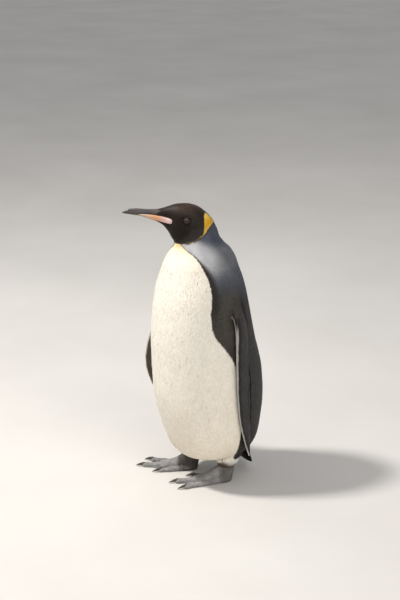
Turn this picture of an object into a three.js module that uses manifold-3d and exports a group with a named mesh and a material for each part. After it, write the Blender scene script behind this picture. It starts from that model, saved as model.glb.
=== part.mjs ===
// King penguin, life size, standing at rest: trunk, neck, turned head and bill,
// hanging flippers, stiff tail, feathered shanks and webbed feet with claws.
// Millimetres, +Z up. The trunk faces -Y and the bird's left side is +X.
// The head and the feet are turned HEADING degrees towards the bird's right.
import * as THREE from 'three';
import { mergeVertices } from 'three/addons/utils/BufferGeometryUtils.js';
import Module from 'manifold-3d';

const wasm = await Module();
wasm.setup();

// ---------------------------------------------------------------- sizes
const HEADING = 28;               // degrees the head is turned to the bird's right
const GAP = 0.3;                  // parting between neighbouring pieces
const BODY_SIDES = 30;            // facets round the trunk
const HEAD_SIDES = 20;

const EYE_FORWARD = 34;           // along the head's heading
const EYE_HEIGHT = 750.5;
const EYE_RADIUS = 8.6;
const EYE_SINK = 5.4;             // eyeball centre inside the face surface

const BILL_FEATHER_LINE = 117;    // where feathering of the forehead ends on the culmen

const FLIPPER = { length: 452, leftAbduct: 1.2, rightAbduct: 21, leftSwing: 0.7, rightSwing: 0, rightBend: 30 };
const FOOT = { middle: 176, outer: 156, inner: 126, outerAngle: 14.5, innerAngle: -12.5, claw: 23, toe: 9.4 };
const LEFT_HEEL = [62, 66], RIGHT_HEEL = [-46, 15];
const LEFT_FOOT_TURN = 22, RIGHT_FOOT_TURN = 32;   // degrees towards the bird's right
const SHANK_TOP = 128, SHANK_BOTTOM = 46;
const TAIL_TOP = 118;

// trunk and neck, level sections: height, offset along the heading axis of the
// neck (forward is negative), centre behind the axis, half width, half depth, squareness
const BODY = [
  // z,   fore,  cy,   across, deep, n
  [ 64,    0,   34.0,   30,   34, 2.0],
  [ 70,    0,   35.0,   62,   66, 2.05],
  [ 80,    0,   36.0,   84,   88, 2.1],
  [ 97,    0,   37.5,  101,  108, 2.15],
  [125,    0,   37.5,  116,  124.5, 2.15],
  [162,    0,   34.7,  126,  135, 2.15],
  [198,    0,   31.5,  132,  142.5, 2.15],
  [236,    0,   28.5,  135,  149.5, 2.15],
  [278,    0,   25.0,  136,  152.5, 2.15],
  [326,    0,   21.5,  134.5, 152, 2.15],
  [373,    0,   15.5,  131.5, 148, 2.15],
  [412,    0,    9.5,  129,  143.5, 2.15],
  [479,    0,    4.0,  124.5, 135.5, 2.12],
  [546,    0,    1.2,  117,  125.5, 2.08],
  [591,    0,    0.5,  107,  115,   2.05],
  [622,    0,    0,     95,  105,   2.0],
  [645,    1,    0,     83,   94.5, 2.0],
  [664,    1,    0,     71,   82.5, 2.0],
  [682,   -1,    0,     58,   66.5, 2.0],
  [700,   -6,    0,     46,   59,   2.0],
  [721,   -9,    0,     39,   55,   2.0],
  [740,  -13,    0,     36,   50,   2.0],
  [755,  -14,    0,     33,   42,   2.0],
  [766,  -14,    0,     27,   32,   2.0],
  [773,  -13,    0,     18,   21,   2.0],
  [777,  -12,    0,      8,    9,   2.0],
];

// head, upright sections across its heading: forward, top, bottom, half width, squareness
const HEAD = [
  [-22, 756, 736,  6, 2.0],
  [-18, 764, 722, 17, 2.0],
  [ -9, 773.5, 706, 28, 2.0],
  [  4, 781.5, 694, 33.5, 2.05],
  [ 20, 787.6, 686, 36, 2.1],
  [ 36, 790, 681.5, 36.5, 2.15],
  [ 50, 789.8, 681, 34.5, 2.15],
  [ 62, 788.9, 683, 31, 2.1],
  [ 71, 786.9, 690, 27, 2.05],
  [ 79, 784.2, 706, 22.5, 2.0],
  [ 90, 780.6, 722.5, 18, 2.0],
  [100, 777.4, 733, 15, 2.0],
  [112, 774.8, 740.2, 12.6, 2.0],
  [124, 774.1, 744.8, 11.2, 2.0],
];

// ------------------------------------------------------------- helpers
const rad = (deg) => deg * Math.PI / 180;

// monotone cubic through a small table
function curveThrough(xs, ys) {
  const n = xs.length, h = [], d = [], m = new Array(n);
  for (let i = 0; i < n - 1; i++) { h.push(xs[i + 1] - xs[i]); d.push((ys[i + 1] - ys[i]) / h[i]); }
  m[0] = d[0]; m[n - 1] = d[n - 2];
  for (let i = 1; i < n - 1; i++) {
    if (d[i - 1] * d[i] <= 0) m[i] = 0;
    else {
      const w1 = 2 * h[i] + h[i - 1], w2 = h[i] + 2 * h[i - 1];
      m[i] = (w1 + w2) / (w1 / d[i - 1] + w2 / d[i]);
    }
  }
  return (x) => {
    if (x <= xs[0]) return ys[0];
    if (x >= xs[n - 1]) return ys[n - 1];
    let i = 0;
    while (x > xs[i + 1]) i++;
    const t = (x - xs[i]) / h[i], t2 = t * t, t3 = t2 * t;
    return (2 * t3 - 3 * t2 + 1) * ys[i] + (t3 - 2 * t2 + t) * h[i] * m[i]
      + (-2 * t3 + 3 * t2) * ys[i + 1] + (t3 - t2) * h[i] * m[i + 1];
  };
}
const column = (table, k) => curveThrough(table.map((r) => r[0]), table.map((r) => r[k]));
const smooth = (x, lo, hi) => { const t = Math.min(1, Math.max(0, (x - lo) / (hi - lo))); return t * t * (3 - 2 * t); };

// closed skin over a run of rings, each ring an array of points with the same count
function loft(rings) {
  const m = rings[0].length, pos = [], idx = [];
  for (const ring of rings) for (const p of ring) pos.push(p[0], p[1], p[2]);
  const centre = (ring) => ring.reduce((s, p) => [s[0] + p[0] / m, s[1] + p[1] / m, s[2] + p[2] / m], [0, 0, 0]);
  for (let i = 0; i < rings.length - 1; i++) {
    for (let j = 0; j < m; j++) {
      const k = (j + 1) % m, a = i * m + j, b = i * m + k, c = (i + 1) * m + j, d = (i + 1) * m + k;
      idx.push(a, b, d, a, d, c);
    }
  }
  const first = pos.length / 3; pos.push(...centre(rings[0]));
  const last = first + 1; pos.push(...centre(rings[rings.length - 1]));
  const o = (rings.length - 1) * m;
  for (let j = 0; j < m; j++) {
    const k = (j + 1) % m;
    idx.push(first, k, j, last, o + j, o + k);
  }
  const g = new THREE.BufferGeometry();
  g.setAttribute('position', new THREE.Float32BufferAttribute(pos, 3));
  g.setIndex(idx);
  return g;
}

// superellipse ring: centre, two axes with half sizes
function ring(c, u, ru, v, rv, n, count) {
  const out = [];
  for (let j = 0; j < count; j++) {
    const t = 2 * Math.PI * j / count, ct = Math.cos(t), st = Math.sin(t);
    const x = ru * Math.sign(ct) * Math.abs(ct) ** (2 / n), y = rv * Math.sign(st) * Math.abs(st) ** (2 / n);
    out.push([0, 1, 2].map((k) => c[k] + u[k] * x + v[k] * y));
  }
  return out;
}

// a closed geometry as a solid for joining and cutting
function solid(geometry, place) {
  let g = geometry.clone();
  if (place) g.applyMatrix4(place);
  g.deleteAttribute('normal'); g.deleteAttribute('uv');
  g = mergeVertices(g, 1e-4);
  const s = new wasm.Manifold(new wasm.Mesh({
    numProp: 3, vertProperties: new Float32Array(g.attributes.position.array), triVerts: new Uint32Array(g.index.array),
  }));
  if (s.volume() > 0) return s;
  const flip = new Uint32Array(g.index.array);
  for (let i = 0; i < flip.length; i += 3) { const t = flip[i]; flip[i] = flip[i + 1]; flip[i + 1] = t; }
  return new wasm.Manifold(new wasm.Mesh({
    numProp: 3, vertProperties: new Float32Array(g.attributes.position.array), triVerts: flip,
  }));
}
function geometryOf(s) {
  const m = s.getMesh(), np = m.numProp, pos = new Float32Array(m.vertProperties.length / np * 3);
  for (let i = 0; i < pos.length / 3; i++) for (let k = 0; k < 3; k++) pos[i * 3 + k] = m.vertProperties[i * np + k];
  const g = new THREE.BufferGeometry();
  g.setAttribute('position', new THREE.BufferAttribute(pos, 3));
  g.setIndex(new THREE.BufferAttribute(new Uint32Array(m.triVerts), 1));
  return g;
}
// half-space: everything on the side of the plane that the normal points to
function beyond(point, normal) {
  const size = 1600, n = new THREE.Vector3(...normal).normalize();
  const q = new THREE.Quaternion().setFromUnitVectors(new THREE.Vector3(0, 0, 1), n);
  const c = new THREE.Vector3(...point).addScaledVector(n, size / 2);
  return solid(new THREE.BoxGeometry(size, size, size), new THREE.Matrix4().compose(c, q, new THREE.Vector3(1, 1, 1)));
}
const shift = (p, n, d) => { const l = Math.hypot(...n); return p.map((v, k) => v + n[k] / l * d); };

// head frame: forward, the head's left, up
const hf = [-Math.sin(rad(HEADING)), -Math.cos(rad(HEADING)), 0];
const hl = [Math.cos(rad(HEADING)), -Math.sin(rad(HEADING)), 0];
const up = [0, 0, 1];
const headPoint = (f, l, z) => [hf[0] * f + hl[0] * l, hf[1] * f + hl[1] * l, z];

// ---------------------------------------------------- trunk, neck, head
const bFore = column(BODY, 1), bBack = column(BODY, 2), bWide = column(BODY, 3), bDeep = column(BODY, 4), bSquare = column(BODY, 5);
function bodyRing(z, grow = 0) {
  const a = rad(HEADING) * smooth(z, 600, 715);
  const u = [Math.cos(a), -Math.sin(a), 0], v = [Math.sin(a), Math.cos(a), 0];
  const f = bFore(z);
  return ring([-hf[0] * f, -hf[1] * f + bBack(z), z], u, bWide(z) + grow, v, bDeep(z) + grow, bSquare(z), BODY_SIDES);
}
const bodyLevels = [];
for (const row of BODY) bodyLevels.push(row[0]);
const bodyWhole = solid(loft(bodyLevels.map((z) => bodyRing(z))));

const hTop = column(HEAD, 1), hBottom = column(HEAD, 2), hWide = column(HEAD, 3), hSquare = column(HEAD, 4);
function headRing(f, grow = 0) {
  const c = (hTop(f) + hBottom(f)) / 2, h = (hTop(f) - hBottom(f)) / 2 + grow;
  return ring(headPoint(f, 0, c), hl, hWide(f) + grow, up, h, hSquare(f), HEAD_SIDES);
}
const headWhole = solid(loft(HEAD.map((row) => headRing(row[0]))));

const flesh = bodyWhole.add(headWhole);

// parting planes: throat to nape, and the foot of the neck
const NAPE_CUT = { at: headPoint(61, 0, 682.5), n: [hf[0] * 0.62, hf[1] * 0.62, 0.785] };
const NECK_FOOT = { at: [0, 0, 652], n: [0, 0.12, 1] };

// ----------------------------------------------------------------- bill
const gapeHeight = curveThrough([63, 72.3, 83.6, 105.9, 128.5, 146.4, 175, 205.2], [744.5, 751.2, 757, 761.6, 764.1, 764.3, 764.2, 763.6]);
const culmen = curveThrough([90, 100.4, 117.2, 134, 150.8, 167.7, 184.5, 195.8, 202, 206.5], [779, 777, 774.2, 773.9, 775, 776.4, 775.4, 771.6, 768, 764.4]);
const gonys = curveThrough([70, 84, 99.3, 111.7, 128.5, 145.3, 159.8, 173.2, 190, 203], [728, 731, 733.8, 740, 746.6, 752.3, 756.6, 758.6, 761.2, 763]);
const billHalf = curveThrough([70, 99, 117, 134, 151, 170, 186, 197, 206.5], [14, 12.4, 10.9, 9.2, 7.5, 6.0, 4.8, 3.6, 1.5]);

// half-round section standing on the gape line (upper) or hanging from it (lower)
function billRing(f, upper, count = 10) {
  const base = gapeHeight(f) + (upper ? GAP / 2 : -GAP / 2), far = upper ? culmen(f) : gonys(f), w = billHalf(f) * (upper ? 1 : 0.92);
  const out = [];
  for (let j = 0; j <= count; j++) {
    const t = Math.PI * j / count, c = Math.cos(t), s = Math.sin(t);
    out.push(headPoint(f, (upper ? 1 : -1) * w * Math.sign(c) * Math.abs(c) ** 0.8, base + (far - base) * Math.abs(s) ** 0.85));
  }
  return out;
}
const billStations = (from, to, n) => Array.from({ length: n + 1 }, (_, i) => from + (to - from) * (1 - (1 - i / n) ** 1.35));
const upperBill = solid(loft(billStations(BILL_FEATHER_LINE, 206, 9).map((f) => billRing(f, true))));
const lowerBill = solid(loft(billStations(BILL_FEATHER_LINE, 202, 9).map((f) => billRing(f, false))));

// the smooth horny plate on each side of the lower jaw
const plateTop = curveThrough([70.5, 72, 76, 83.6, 94.9, 105.9, 128.5, 150.8, 165], [746.5, 750.4, 752.8, 754.8, 757.2, 758.8, 761.4, 762.6, 761.2]);
const plateLow = curveThrough([70.5, 72, 78, 94.9, 105.9, 117.2, 128.5, 150.8, 165], [742.5, 740.4, 739.4, 741.6, 744.2, 746.6, 749.6, 756.4, 760.2]);
const plateOut = curveThrough([70.5, 76, 90, 106, 117, 134, 151, 165], [24.6, 24.6, 18.6, 15.2, 13.2, 10.6, 8.6, 7.0]);
function plateRing(f, side, grow = 0, count = 8) {
  const zc = (plateTop(f) + plateLow(f)) / 2, hz = (plateTop(f) - plateLow(f)) / 2 + grow, o = plateOut(f), t = 3.2 + grow;
  return ring(headPoint(f, side * (o - 2.2), zc), hl, t, up, hz, 2.3, count);
}
const plateStations = [70.8, 73, 78, 86, 95, 106, 117, 128.5, 140, 151, 160, 164.5];
const plate = (side, grow) => solid(loft(plateStations.map((f, i) => plateRing(f + (i === 0 ? -grow : i === plateStations.length - 1 ? grow : 0), side, grow))));

// ----------------------------------------------------------------- eyes
const headSideAt = (f, z) => {
  const c = (hTop(f) + hBottom(f)) / 2, h = (hTop(f) - hBottom(f)) / 2, n = hSquare(f), s = Math.abs((z - c) / h);
  return hWide(f) * (1 - s ** n) ** (1 / n);
};
const eyeOut = headSideAt(EYE_FORWARD, EYE_HEIGHT) - EYE_SINK;
const eyeBall = (side, grow) => solid(new THREE.SphereGeometry(EYE_RADIUS + grow, 12, 8),
  new THREE.Matrix4().makeTranslation(...headPoint(EYE_FORWARD, side * eyeOut, EYE_HEIGHT)));

// -------------------------------------------------------------- flippers
// along the flipper: distance from the shoulder, leading and trailing reach, thickness
const FLIP = [
  //  s,   lead, trail, thick
  [   0,   18,  -16,  22],
  [  30,   22,  -22,  21],
  [  70,   25,  -24,  18],
  [ 120,   29,  -26, 15],
  [ 165,   32,  -26.5,  13],
  [ 210,   33,  -27,  11.5],
  [ 250,   32,  -27.5,  10.2],
  [ 290,   28,  -28.5, 9],
  [ 325,   21.5, -30, 8],
  [ 360,   11.5, -31, 7],
  [ 392,   -0.5, -32, 6],
  [ 420,   -12.5, -33, 5],
  [ 440,   -22.5, -33.2, 4],
  [ 452,   -29,  -32.4, 2.6],
];
const fLead = column(FLIP, 1), fTrail = column(FLIP, 2), fThick = column(FLIP, 3);
const SHOULDER = [124, 59, 541];
// how far the blade stands out from its axis on its way down: tucked in at the shoulder
const fTuck = { left: curveThrough([0, 25, 55, 90, 250, 452], [-24, -15, -6, -1, 3, -1]), right: curveThrough([0, 40, 110, 200, 300, 380, 452], [-14, -2, 10, 17, 14, 2, -14]) };
// blade direction from trailing to leading edge, left side
const BLADE = { left: [0.46, -0.888, 0], right: [-0.12, -0.993, 0] };
function flipperFrame(side) {
  const left = side > 0, ab = rad(left ? FLIPPER.leftAbduct : FLIPPER.rightAbduct), sw = rad(left ? FLIPPER.leftSwing : FLIPPER.rightSwing);
  // hanging direction, tilted outwards by ab and backwards by sw
  const down = new THREE.Vector3(side * Math.sin(ab), Math.sin(sw), -Math.cos(ab) * Math.cos(sw)).normalize();
  const b = new THREE.Vector3(...(left ? BLADE.left : BLADE.right));
  b.addScaledVector(down, -b.dot(down)).normalize();
  const out = new THREE.Vector3().crossVectors(down, b).normalize();
  if (out.x * side < 0) out.negate();
  const root = left ? SHOULDER : [-SHOULDER[0] + 18, SHOULDER[1] - 61, SHOULDER[2]];
  return { down: down.toArray(), blade: b.toArray(), out: out.toArray(), root };
}
function flipperRing(s, side, grow = 0, count = 12) {
  const fr = flipperFrame(side), mid = (fLead(s) + fTrail(s)) / 2, half = (fLead(s) - fTrail(s)) / 2 + grow, t = fThick(s) / 2 + grow;
  const tuck = (side > 0 ? fTuck.left : fTuck.right)(s), sweep = side > 0 ? 0 : FLIPPER.rightBend * Math.sin(Math.PI * Math.min(1, Math.max(0, s / FLIPPER.length)) ** 1.25);
  const c = [0, 1, 2].map((k) => fr.root[k] + fr.down[k] * s + fr.blade[k] * (mid + sweep) + fr.out[k] * tuck);
  return ring(c, fr.blade, half, fr.out, t, 2.2, count);
}
const flipStations = [0, 30, 70, 110, 150, 190, 225, 255, 285, 315, 342, 368, 392, 414, 432, 445, 452];
const flipper = (side, grow) => solid(loft(flipStations.map((s, i) => flipperRing(s + (i === 0 ? -grow : i === flipStations.length - 1 ? grow : 0), side, grow))));

// ------------------------------------------------------------------ tail
const TAIL = [
  // z,    cy,   across, deep
  [ 15,  151,  21,  8.5],
  [ 19,  151,  25,  12],
  [ 30,  150,  31,  15],
  [ 45,  147, 36, 18],
  [ 70,  141,  42,  20],
  [ 95,  128,  44,  27],
  [TAIL_TOP, 112, 44, 34],
  [140,   96,  38,  34],
];
const tCy = column(TAIL, 1), tWide = column(TAIL, 2), tDeep = column(TAIL, 3);
const tailRing = (z, grow = 0) => ring([0, tCy(z), z], [1, 0, 0], tWide(z) + grow, [0, 1, 0], tDeep(z) + grow, 2.3, 18);
const tailWhole = solid(loft([15, 19, 30, 45, 70, 95, TAIL_TOP, 140].map((z) => tailRing(z))));
const tailGrown = solid(loft([9, 19, 30, 45, 70, 95, TAIL_TOP, 140 + GAP].map((z) => tailRing(z, GAP))));

// ------------------------------------------------------- shanks and feet
// foot frame: forward (towards the toes), outward, up
function footFrame(side) {
  const left = side > 0, a = rad(left ? LEFT_FOOT_TURN : RIGHT_FOOT_TURN), heel = left ? LEFT_HEEL : RIGHT_HEEL;
  const f = [-Math.sin(a), -Math.cos(a), 0], o = [side * Math.cos(a), -side * Math.sin(a), 0];
  return { f, o, heel, at: (u, w, z) => [heel[0] + f[0] * u + o[0] * w, heel[1] + f[1] * u + o[1] * w, z] };
}
const TOES = [
  // angle, length to claw tip, root forward, root outward, width factor
  { name: 'inner', angle: FOOT.innerAngle, length: FOOT.inner, root: [16, -9], fat: 0.92 },
  { name: 'middle', angle: 1.2, length: FOOT.middle, root: [14, 1], fat: 1.08 },
  { name: 'outer', angle: FOOT.outerAngle, length: FOOT.outer, root: [14, 10], fat: 1.0 },
];
function toeRing(side, toe, t, grow = 0, count = 10) {
  const fr = footFrame(side), a = rad(toe.angle), end = toe.length - FOOT.claw + 3;
  const u = toe.root[0] + (end - toe.root[0]) * t, w = toe.root[1] + Math.tan(a) * (u - toe.root[0]);
  const knuckle = 1 + 0.08 * Math.cos(2 * Math.PI * 2.5 * t);
  const r = FOOT.toe * toe.fat * (1 - 0.24 * t) * knuckle * (t > 0.97 ? 0.62 : 1) + grow;
  const h = (15.5 - 5.2 * t) * toe.fat * (t > 0.97 ? 0.8 : 1) + grow;
  return ring(fr.at(u, w, h * 0.42), fr.o, r, up, h * 0.62, 2.2, count);
}
function clawSolid(side, toe, grow = 0) {
  const fr = footFrame(side), a = rad(toe.angle), rings = [];
  for (let i = 0; i <= 4; i++) {
    const t = i / 4, u = toe.length - FOOT.claw + FOOT.claw * t, w = toe.root[1] + Math.tan(a) * (u - toe.root[0]);
    const r = 4.6 * (1 - t) ** 0.75 + 0.55 + grow, zc = 7.6 - 0.6 * t - 5.3 * t * t;
    rings.push(ring(fr.at(u + (i === 0 ? -grow : 0), w, Math.max(zc, r * 1.05 + 0.05)), fr.o, r, up, r * 1.05, 2, 8));
  }
  return solid(loft(rings));
}
// web between two toes: a thin sheet of flesh with a hollowed front edge
function webSolid(side, toeA, toeB) {
  const fr = footFrame(side), rings = [], n = 6;
  const along = (toe, u) => [u, toe.root[1] + Math.tan(rad(toe.angle)) * (u - toe.root[0])];
  for (let i = 0; i <= n; i++) {
    const t = i / n;
    const ua = 20 + (toeA.length - FOOT.claw - 4 - 20), ub = 20 + (toeB.length - FOOT.claw - 4 - 20);
    const front = ua + (ub - ua) * t - Math.sin(Math.PI * t) * 16;
    const pa = along(toeA, front), pb = along(toeB, front);
    const w = pa[1] + (pb[1] - pa[1]) * t;
    const base = toeA.root[1] + (toeB.root[1] - toeA.root[1]) * t;
    rings.push([fr.at(18, base, 0), fr.at(front, w, 0), fr.at(front - 0.5, w, 4.2), fr.at(60, base + (w - base) * 42 / (front - 18), 8.5), fr.at(18, base, 13)]);
  }
  return solid(loft(rings));
}
function footSolid(side) {
  const fr = footFrame(side);
  let s = null;
  for (const toe of TOES) {
    const rings = [];
    for (const t of [0, 0.2, 0.4, 0.6, 0.8, 0.96, 1]) rings.push(toeRing(side, toe, t));
    const t = solid(loft(rings));
    s = s ? s.add(t) : t;
  }
  s = s.add(webSolid(side, TOES[0], TOES[1])).add(webSolid(side, TOES[1], TOES[2]));
  // heel pad and the short slanting instep up to the feathered shank
  const inst = [
    // z, forward, outward, half length, half width
    [0, 17, 1, 17, 15], [6, 17.5, 1, 19.5, 17.5], [14, 18, 1, 21, 18.5], [26, 16, 1, 21.5, 18.5], [38, 14, 1, 21.5, 18], [SHANK_BOTTOM + 10, 13, 1, 20.5, 17],
  ];
  s = s.add(solid(loft(inst.map((r) => ring(fr.at(r[1], r[2], r[0]), fr.f, r[3], fr.o, r[4], 2.2, 16)))));
  // instep slope running down onto the toes
  const slope = [[14, 56, 16], [30, 52, 17], [46, 41, 18], [64, 29, 19], [86, 21, 18.5], [108, 15, 16]];
  s = s.add(solid(loft(slope.map((r) => ring(fr.at(r[0], 1 + r[0] * 0.03, r[1] / 2 - 2), fr.o, r[2], up, r[1] / 2 + 2, 2.2, 12)))));
  // small hind toe on the inner side
  const hind = [];
  for (let i = 0; i <= 4; i++) { const t = i / 4; hind.push(ring(fr.at(12 + 20 * t, -14 - 7 * t, 7 - 1.5 * t), fr.o, 5 - 2.6 * t, up, 5 - 2.6 * t, 2, 8)); }
  s = s.add(solid(loft(hind)));
  s = s.subtract(beyond([0, 0, 0], [0, 0, -1]));
  return s;
}
// feathered shank from inside the belly down to the ankle
const SHANK = [
  // z, forward, outward, half length, half width
  [SHANK_BOTTOM, 13, 0, 23, 21], [54, 12, 0, 28, 26], [64, 11, -1, 32, 30], [78, 9, -2, 37, 34], [96, 8, -4, 42, 37], [SHANK_TOP, 6, -8, 45, 38],
];
function shankSolid(side, grow = 0) {
  const fr = footFrame(side);
  return solid(loft(SHANK.map((r, i) => ring(fr.at(r[1], r[2], r[0] + (i === 0 ? -grow : i === SHANK.length - 1 ? grow : 0)), fr.f, r[3] + grow, fr.o, r[4] + grow, 2.1, 16))));
}

// ---------------------------------------------------------- put together
const group = new THREE.Group();
function put(name, s, colour, roughness, metalness = 0) {
  const mesh = new THREE.Mesh(geometryOf(s), new THREE.MeshStandardMaterial({ color: colour, roughness, metalness }));
  mesh.name = name;
  group.add(mesh);
}
const COLOUR = {
  black: 0x1c1714, slate: 0x56606b, cream: 0xefe5cc, back: 0x3d3a3c, horn: 0x26211f, plate: 0xe3b39a, eye: 0x20120c, foot: 0x5e5d5b, claw: 0x2a2523,
};

const plateL = plate(1, 0), plateR = plate(-1, 0), plateLg = plate(1, GAP), plateRg = plate(-1, GAP);
const eyes = { L: eyeBall(1, 0), R: eyeBall(-1, 0) }, eyesG = { L: eyeBall(1, GAP), R: eyeBall(-1, GAP) };
const flips = { L: flipper(1, 0), R: flipper(-1, 0) }, flipsG = { L: flipper(1, GAP), R: flipper(-1, GAP) };
const shanks = { L: shankSolid(1), R: shankSolid(-1) }, shanksG = { L: shankSolid(1, GAP), R: shankSolid(-1, GAP) };
const feet = { L: footSolid(1), R: footSolid(-1) };

// head: in front of the throat-to-nape plane, ending at the feather line of the bill
const faceEnd = headPoint(BILL_FEATHER_LINE - GAP, 0, 760);
let head = flesh.subtract(beyond(shift(NAPE_CUT.at, NAPE_CUT.n, GAP / 2), NAPE_CUT.n.map((v) => -v)));
head = head.subtract(beyond(faceEnd, hf)).subtract(plateLg).subtract(plateRg).subtract(eyesG.L).subtract(eyesG.R);
put('head', head, COLOUR.black, 0.75);

let neck = flesh.subtract(beyond(shift(NAPE_CUT.at, NAPE_CUT.n, -GAP / 2), NAPE_CUT.n));
neck = neck.subtract(beyond(shift(NECK_FOOT.at, NECK_FOOT.n, GAP / 2), NECK_FOOT.n.map((v) => -v)));
put('neck', neck, COLOUR.slate, 0.8);

let trunk = flesh.subtract(beyond(shift(NECK_FOOT.at, NECK_FOOT.n, -GAP / 2), NECK_FOOT.n));
trunk = trunk.subtract(flipsG.L).subtract(flipsG.R).subtract(shanksG.L).subtract(shanksG.R).subtract(tailGrown);
put('trunk', trunk, COLOUR.cream, 0.85);

put('tail', tailWhole.subtract(shanksG.L).subtract(shanksG.R), COLOUR.back, 0.8);

put('flipper_L', flips.L, COLOUR.back, 0.7);
put('flipper_R', flips.R, COLOUR.back, 0.7);

for (const [tag, side] of [['L', 1], ['R', -1]]) {
  put(`leg_${tag}`, shanks[tag], COLOUR.cream, 0.85);
  let foot = feet[tag].subtract(shanksG[tag]);
  for (const toe of TOES) {
    foot = foot.subtract(clawSolid(side, toe, GAP));
    put(`claw_${toe.name}_${tag}`, clawSolid(side, toe), COLOUR.claw, 0.5);
  }
  put(`foot_${tag}`, foot, COLOUR.foot, 0.75);
}

put('bill_upper', upperBill.subtract(plateLg).subtract(plateRg), COLOUR.horn, 0.4);
put('bill_lower', lowerBill.subtract(plateLg).subtract(plateRg), COLOUR.horn, 0.4);
put('bill_plate_L', plateL, COLOUR.plate, 0.4);
put('bill_plate_R', plateR, COLOUR.plate, 0.4);
put('eye_L', eyes.L, COLOUR.eye, 0.1);
put('eye_R', eyes.R, COLOUR.eye, 0.1);

// stand the bird on the floor with its box centred on the origin
group.updateMatrixWorld(true);
const box = new THREE.Box3().setFromObject(group);
const place = new THREE.Vector3(-(box.min.x + box.max.x) / 2, -(box.min.y + box.max.y) / 2, -box.min.z);
for (const mesh of group.children) mesh.geometry.translate(place.x, place.y, place.z);

export default group;
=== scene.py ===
# King penguin, standing: one skin, plumage of closed vanes, horn bill, eyes with lids, scaly feet.
from math import radians, sin, cos, pi, sqrt
import bpy
import bmesh
import numpy as np
from mathutils import Vector, Matrix
from mathutils.bvhtree import BVHTree
from mathutils.kdtree import KDTree


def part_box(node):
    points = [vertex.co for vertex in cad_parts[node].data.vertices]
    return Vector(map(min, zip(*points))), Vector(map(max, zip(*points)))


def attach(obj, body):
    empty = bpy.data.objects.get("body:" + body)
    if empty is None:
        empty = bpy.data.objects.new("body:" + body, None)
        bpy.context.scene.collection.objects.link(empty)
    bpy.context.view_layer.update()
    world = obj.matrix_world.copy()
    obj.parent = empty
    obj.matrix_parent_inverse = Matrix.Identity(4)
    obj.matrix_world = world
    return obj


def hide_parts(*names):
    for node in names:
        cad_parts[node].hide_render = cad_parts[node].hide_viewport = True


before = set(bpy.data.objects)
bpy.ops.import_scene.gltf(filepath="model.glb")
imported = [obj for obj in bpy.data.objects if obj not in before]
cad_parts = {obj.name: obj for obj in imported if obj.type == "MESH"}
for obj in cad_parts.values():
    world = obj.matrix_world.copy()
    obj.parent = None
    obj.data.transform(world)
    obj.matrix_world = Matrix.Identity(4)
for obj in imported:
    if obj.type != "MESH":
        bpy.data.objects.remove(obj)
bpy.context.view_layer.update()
RNG = np.random.default_rng(20)

# ------------------------------------------------------------------ sizes, in millimetres
HEADING = 28.0                       # head and feet turned to the bird's right
EYE_FORWARD, EYE_HEIGHT, EYE_RADIUS, EYE_SINK = 34.0, 750.5, 8.6, 5.4
FEATHER_LINE = 117.0
BODY = [[64, 0, 34.0, 30, 34, 2.0], [70, 0, 35.0, 62, 66, 2.05], [80, 0, 36.0, 84, 88, 2.1], [97, 0, 37.5, 101, 108, 2.15],
        [125, 0, 37.5, 116, 124.5, 2.15], [162, 0, 34.7, 126, 135, 2.15], [198, 0, 31.5, 132, 142.5, 2.15],
        [236, 0, 28.5, 135, 149.5, 2.15], [278, 0, 25.0, 136, 152.5, 2.15], [326, 0, 21.5, 134.5, 152, 2.15],
        [373, 0, 15.5, 131.5, 148, 2.15], [412, 0, 9.5, 129, 143.5, 2.15], [479, 0, 4.0, 124.5, 135.5, 2.12],
        [546, 0, 1.2, 117, 125.5, 2.08], [591, 0, 0.5, 107, 115, 2.05], [622, 0, 0, 95, 105, 2.0],
        [645, 1, 0, 83, 94.5, 2.0], [664, 1, 0, 71, 82.5, 2.0], [682, -1, 0, 58, 66.5, 2.0], [700, -6, 0, 46, 59, 2.0],
        [721, -9, 0, 39, 55, 2.0], [740, -13, 0, 36, 50, 2.0], [755, -14, 0, 33, 42, 2.0], [766, -14, 0, 27, 32, 2.0],
        [773, -13, 0, 18, 21, 2.0], [777, -12, 0, 8, 9, 2.0]]
HEAD = [[-22, 756, 736, 6, 2.0], [-18, 764, 722, 17, 2.0], [-9, 773.5, 706, 28, 2.0], [4, 781.5, 694, 33.5, 2.05],
        [20, 787.6, 686, 36, 2.1], [36, 790, 681.5, 36.5, 2.15], [50, 789.8, 681, 34.5, 2.15], [62, 788.9, 683, 31, 2.1],
        [71, 786.9, 690, 27, 2.05], [79, 784.2, 706, 22.5, 2.0], [90, 780.6, 722.5, 18, 2.0], [100, 777.4, 733, 15, 2.0],
        [112, 774.8, 740.2, 12.6, 2.0], [124, 774.1, 744.8, 11.2, 2.0]]
FLIP = [[0, 18, -16, 22], [30, 22, -22, 21], [70, 25, -24, 18], [120, 29, -26, 15], [165, 32, -26.5, 13],
        [210, 33, -27, 11.5], [250, 32, -27.5, 10.2], [290, 28, -28.5, 9], [325, 21.5, -30, 8], [360, 11.5, -31, 7],
        [392, -0.5, -32, 6], [420, -12.5, -33, 5], [440, -22.5, -33.2, 4], [452, -29, -32.4, 2.6]]
FLIP_LENGTH = 452.0
TAIL = [[15, 151, 21, 8.5], [19, 151, 25, 12], [30, 150, 31, 15], [45, 147, 36, 18], [70, 141, 42, 20],
        [95, 128, 44, 27], [118, 112, 44, 34], [140, 96, 38, 34]]
SHANK = [[46, 13, 0, 23, 21], [54, 12, 0, 28, 26], [64, 11, -1, 32, 30], [78, 9, -2, 37, 34], [96, 8, -4, 42, 37], [128, 6, -8, 45, 38]]
CLAW, TOE = 23.0, 9.4


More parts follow.
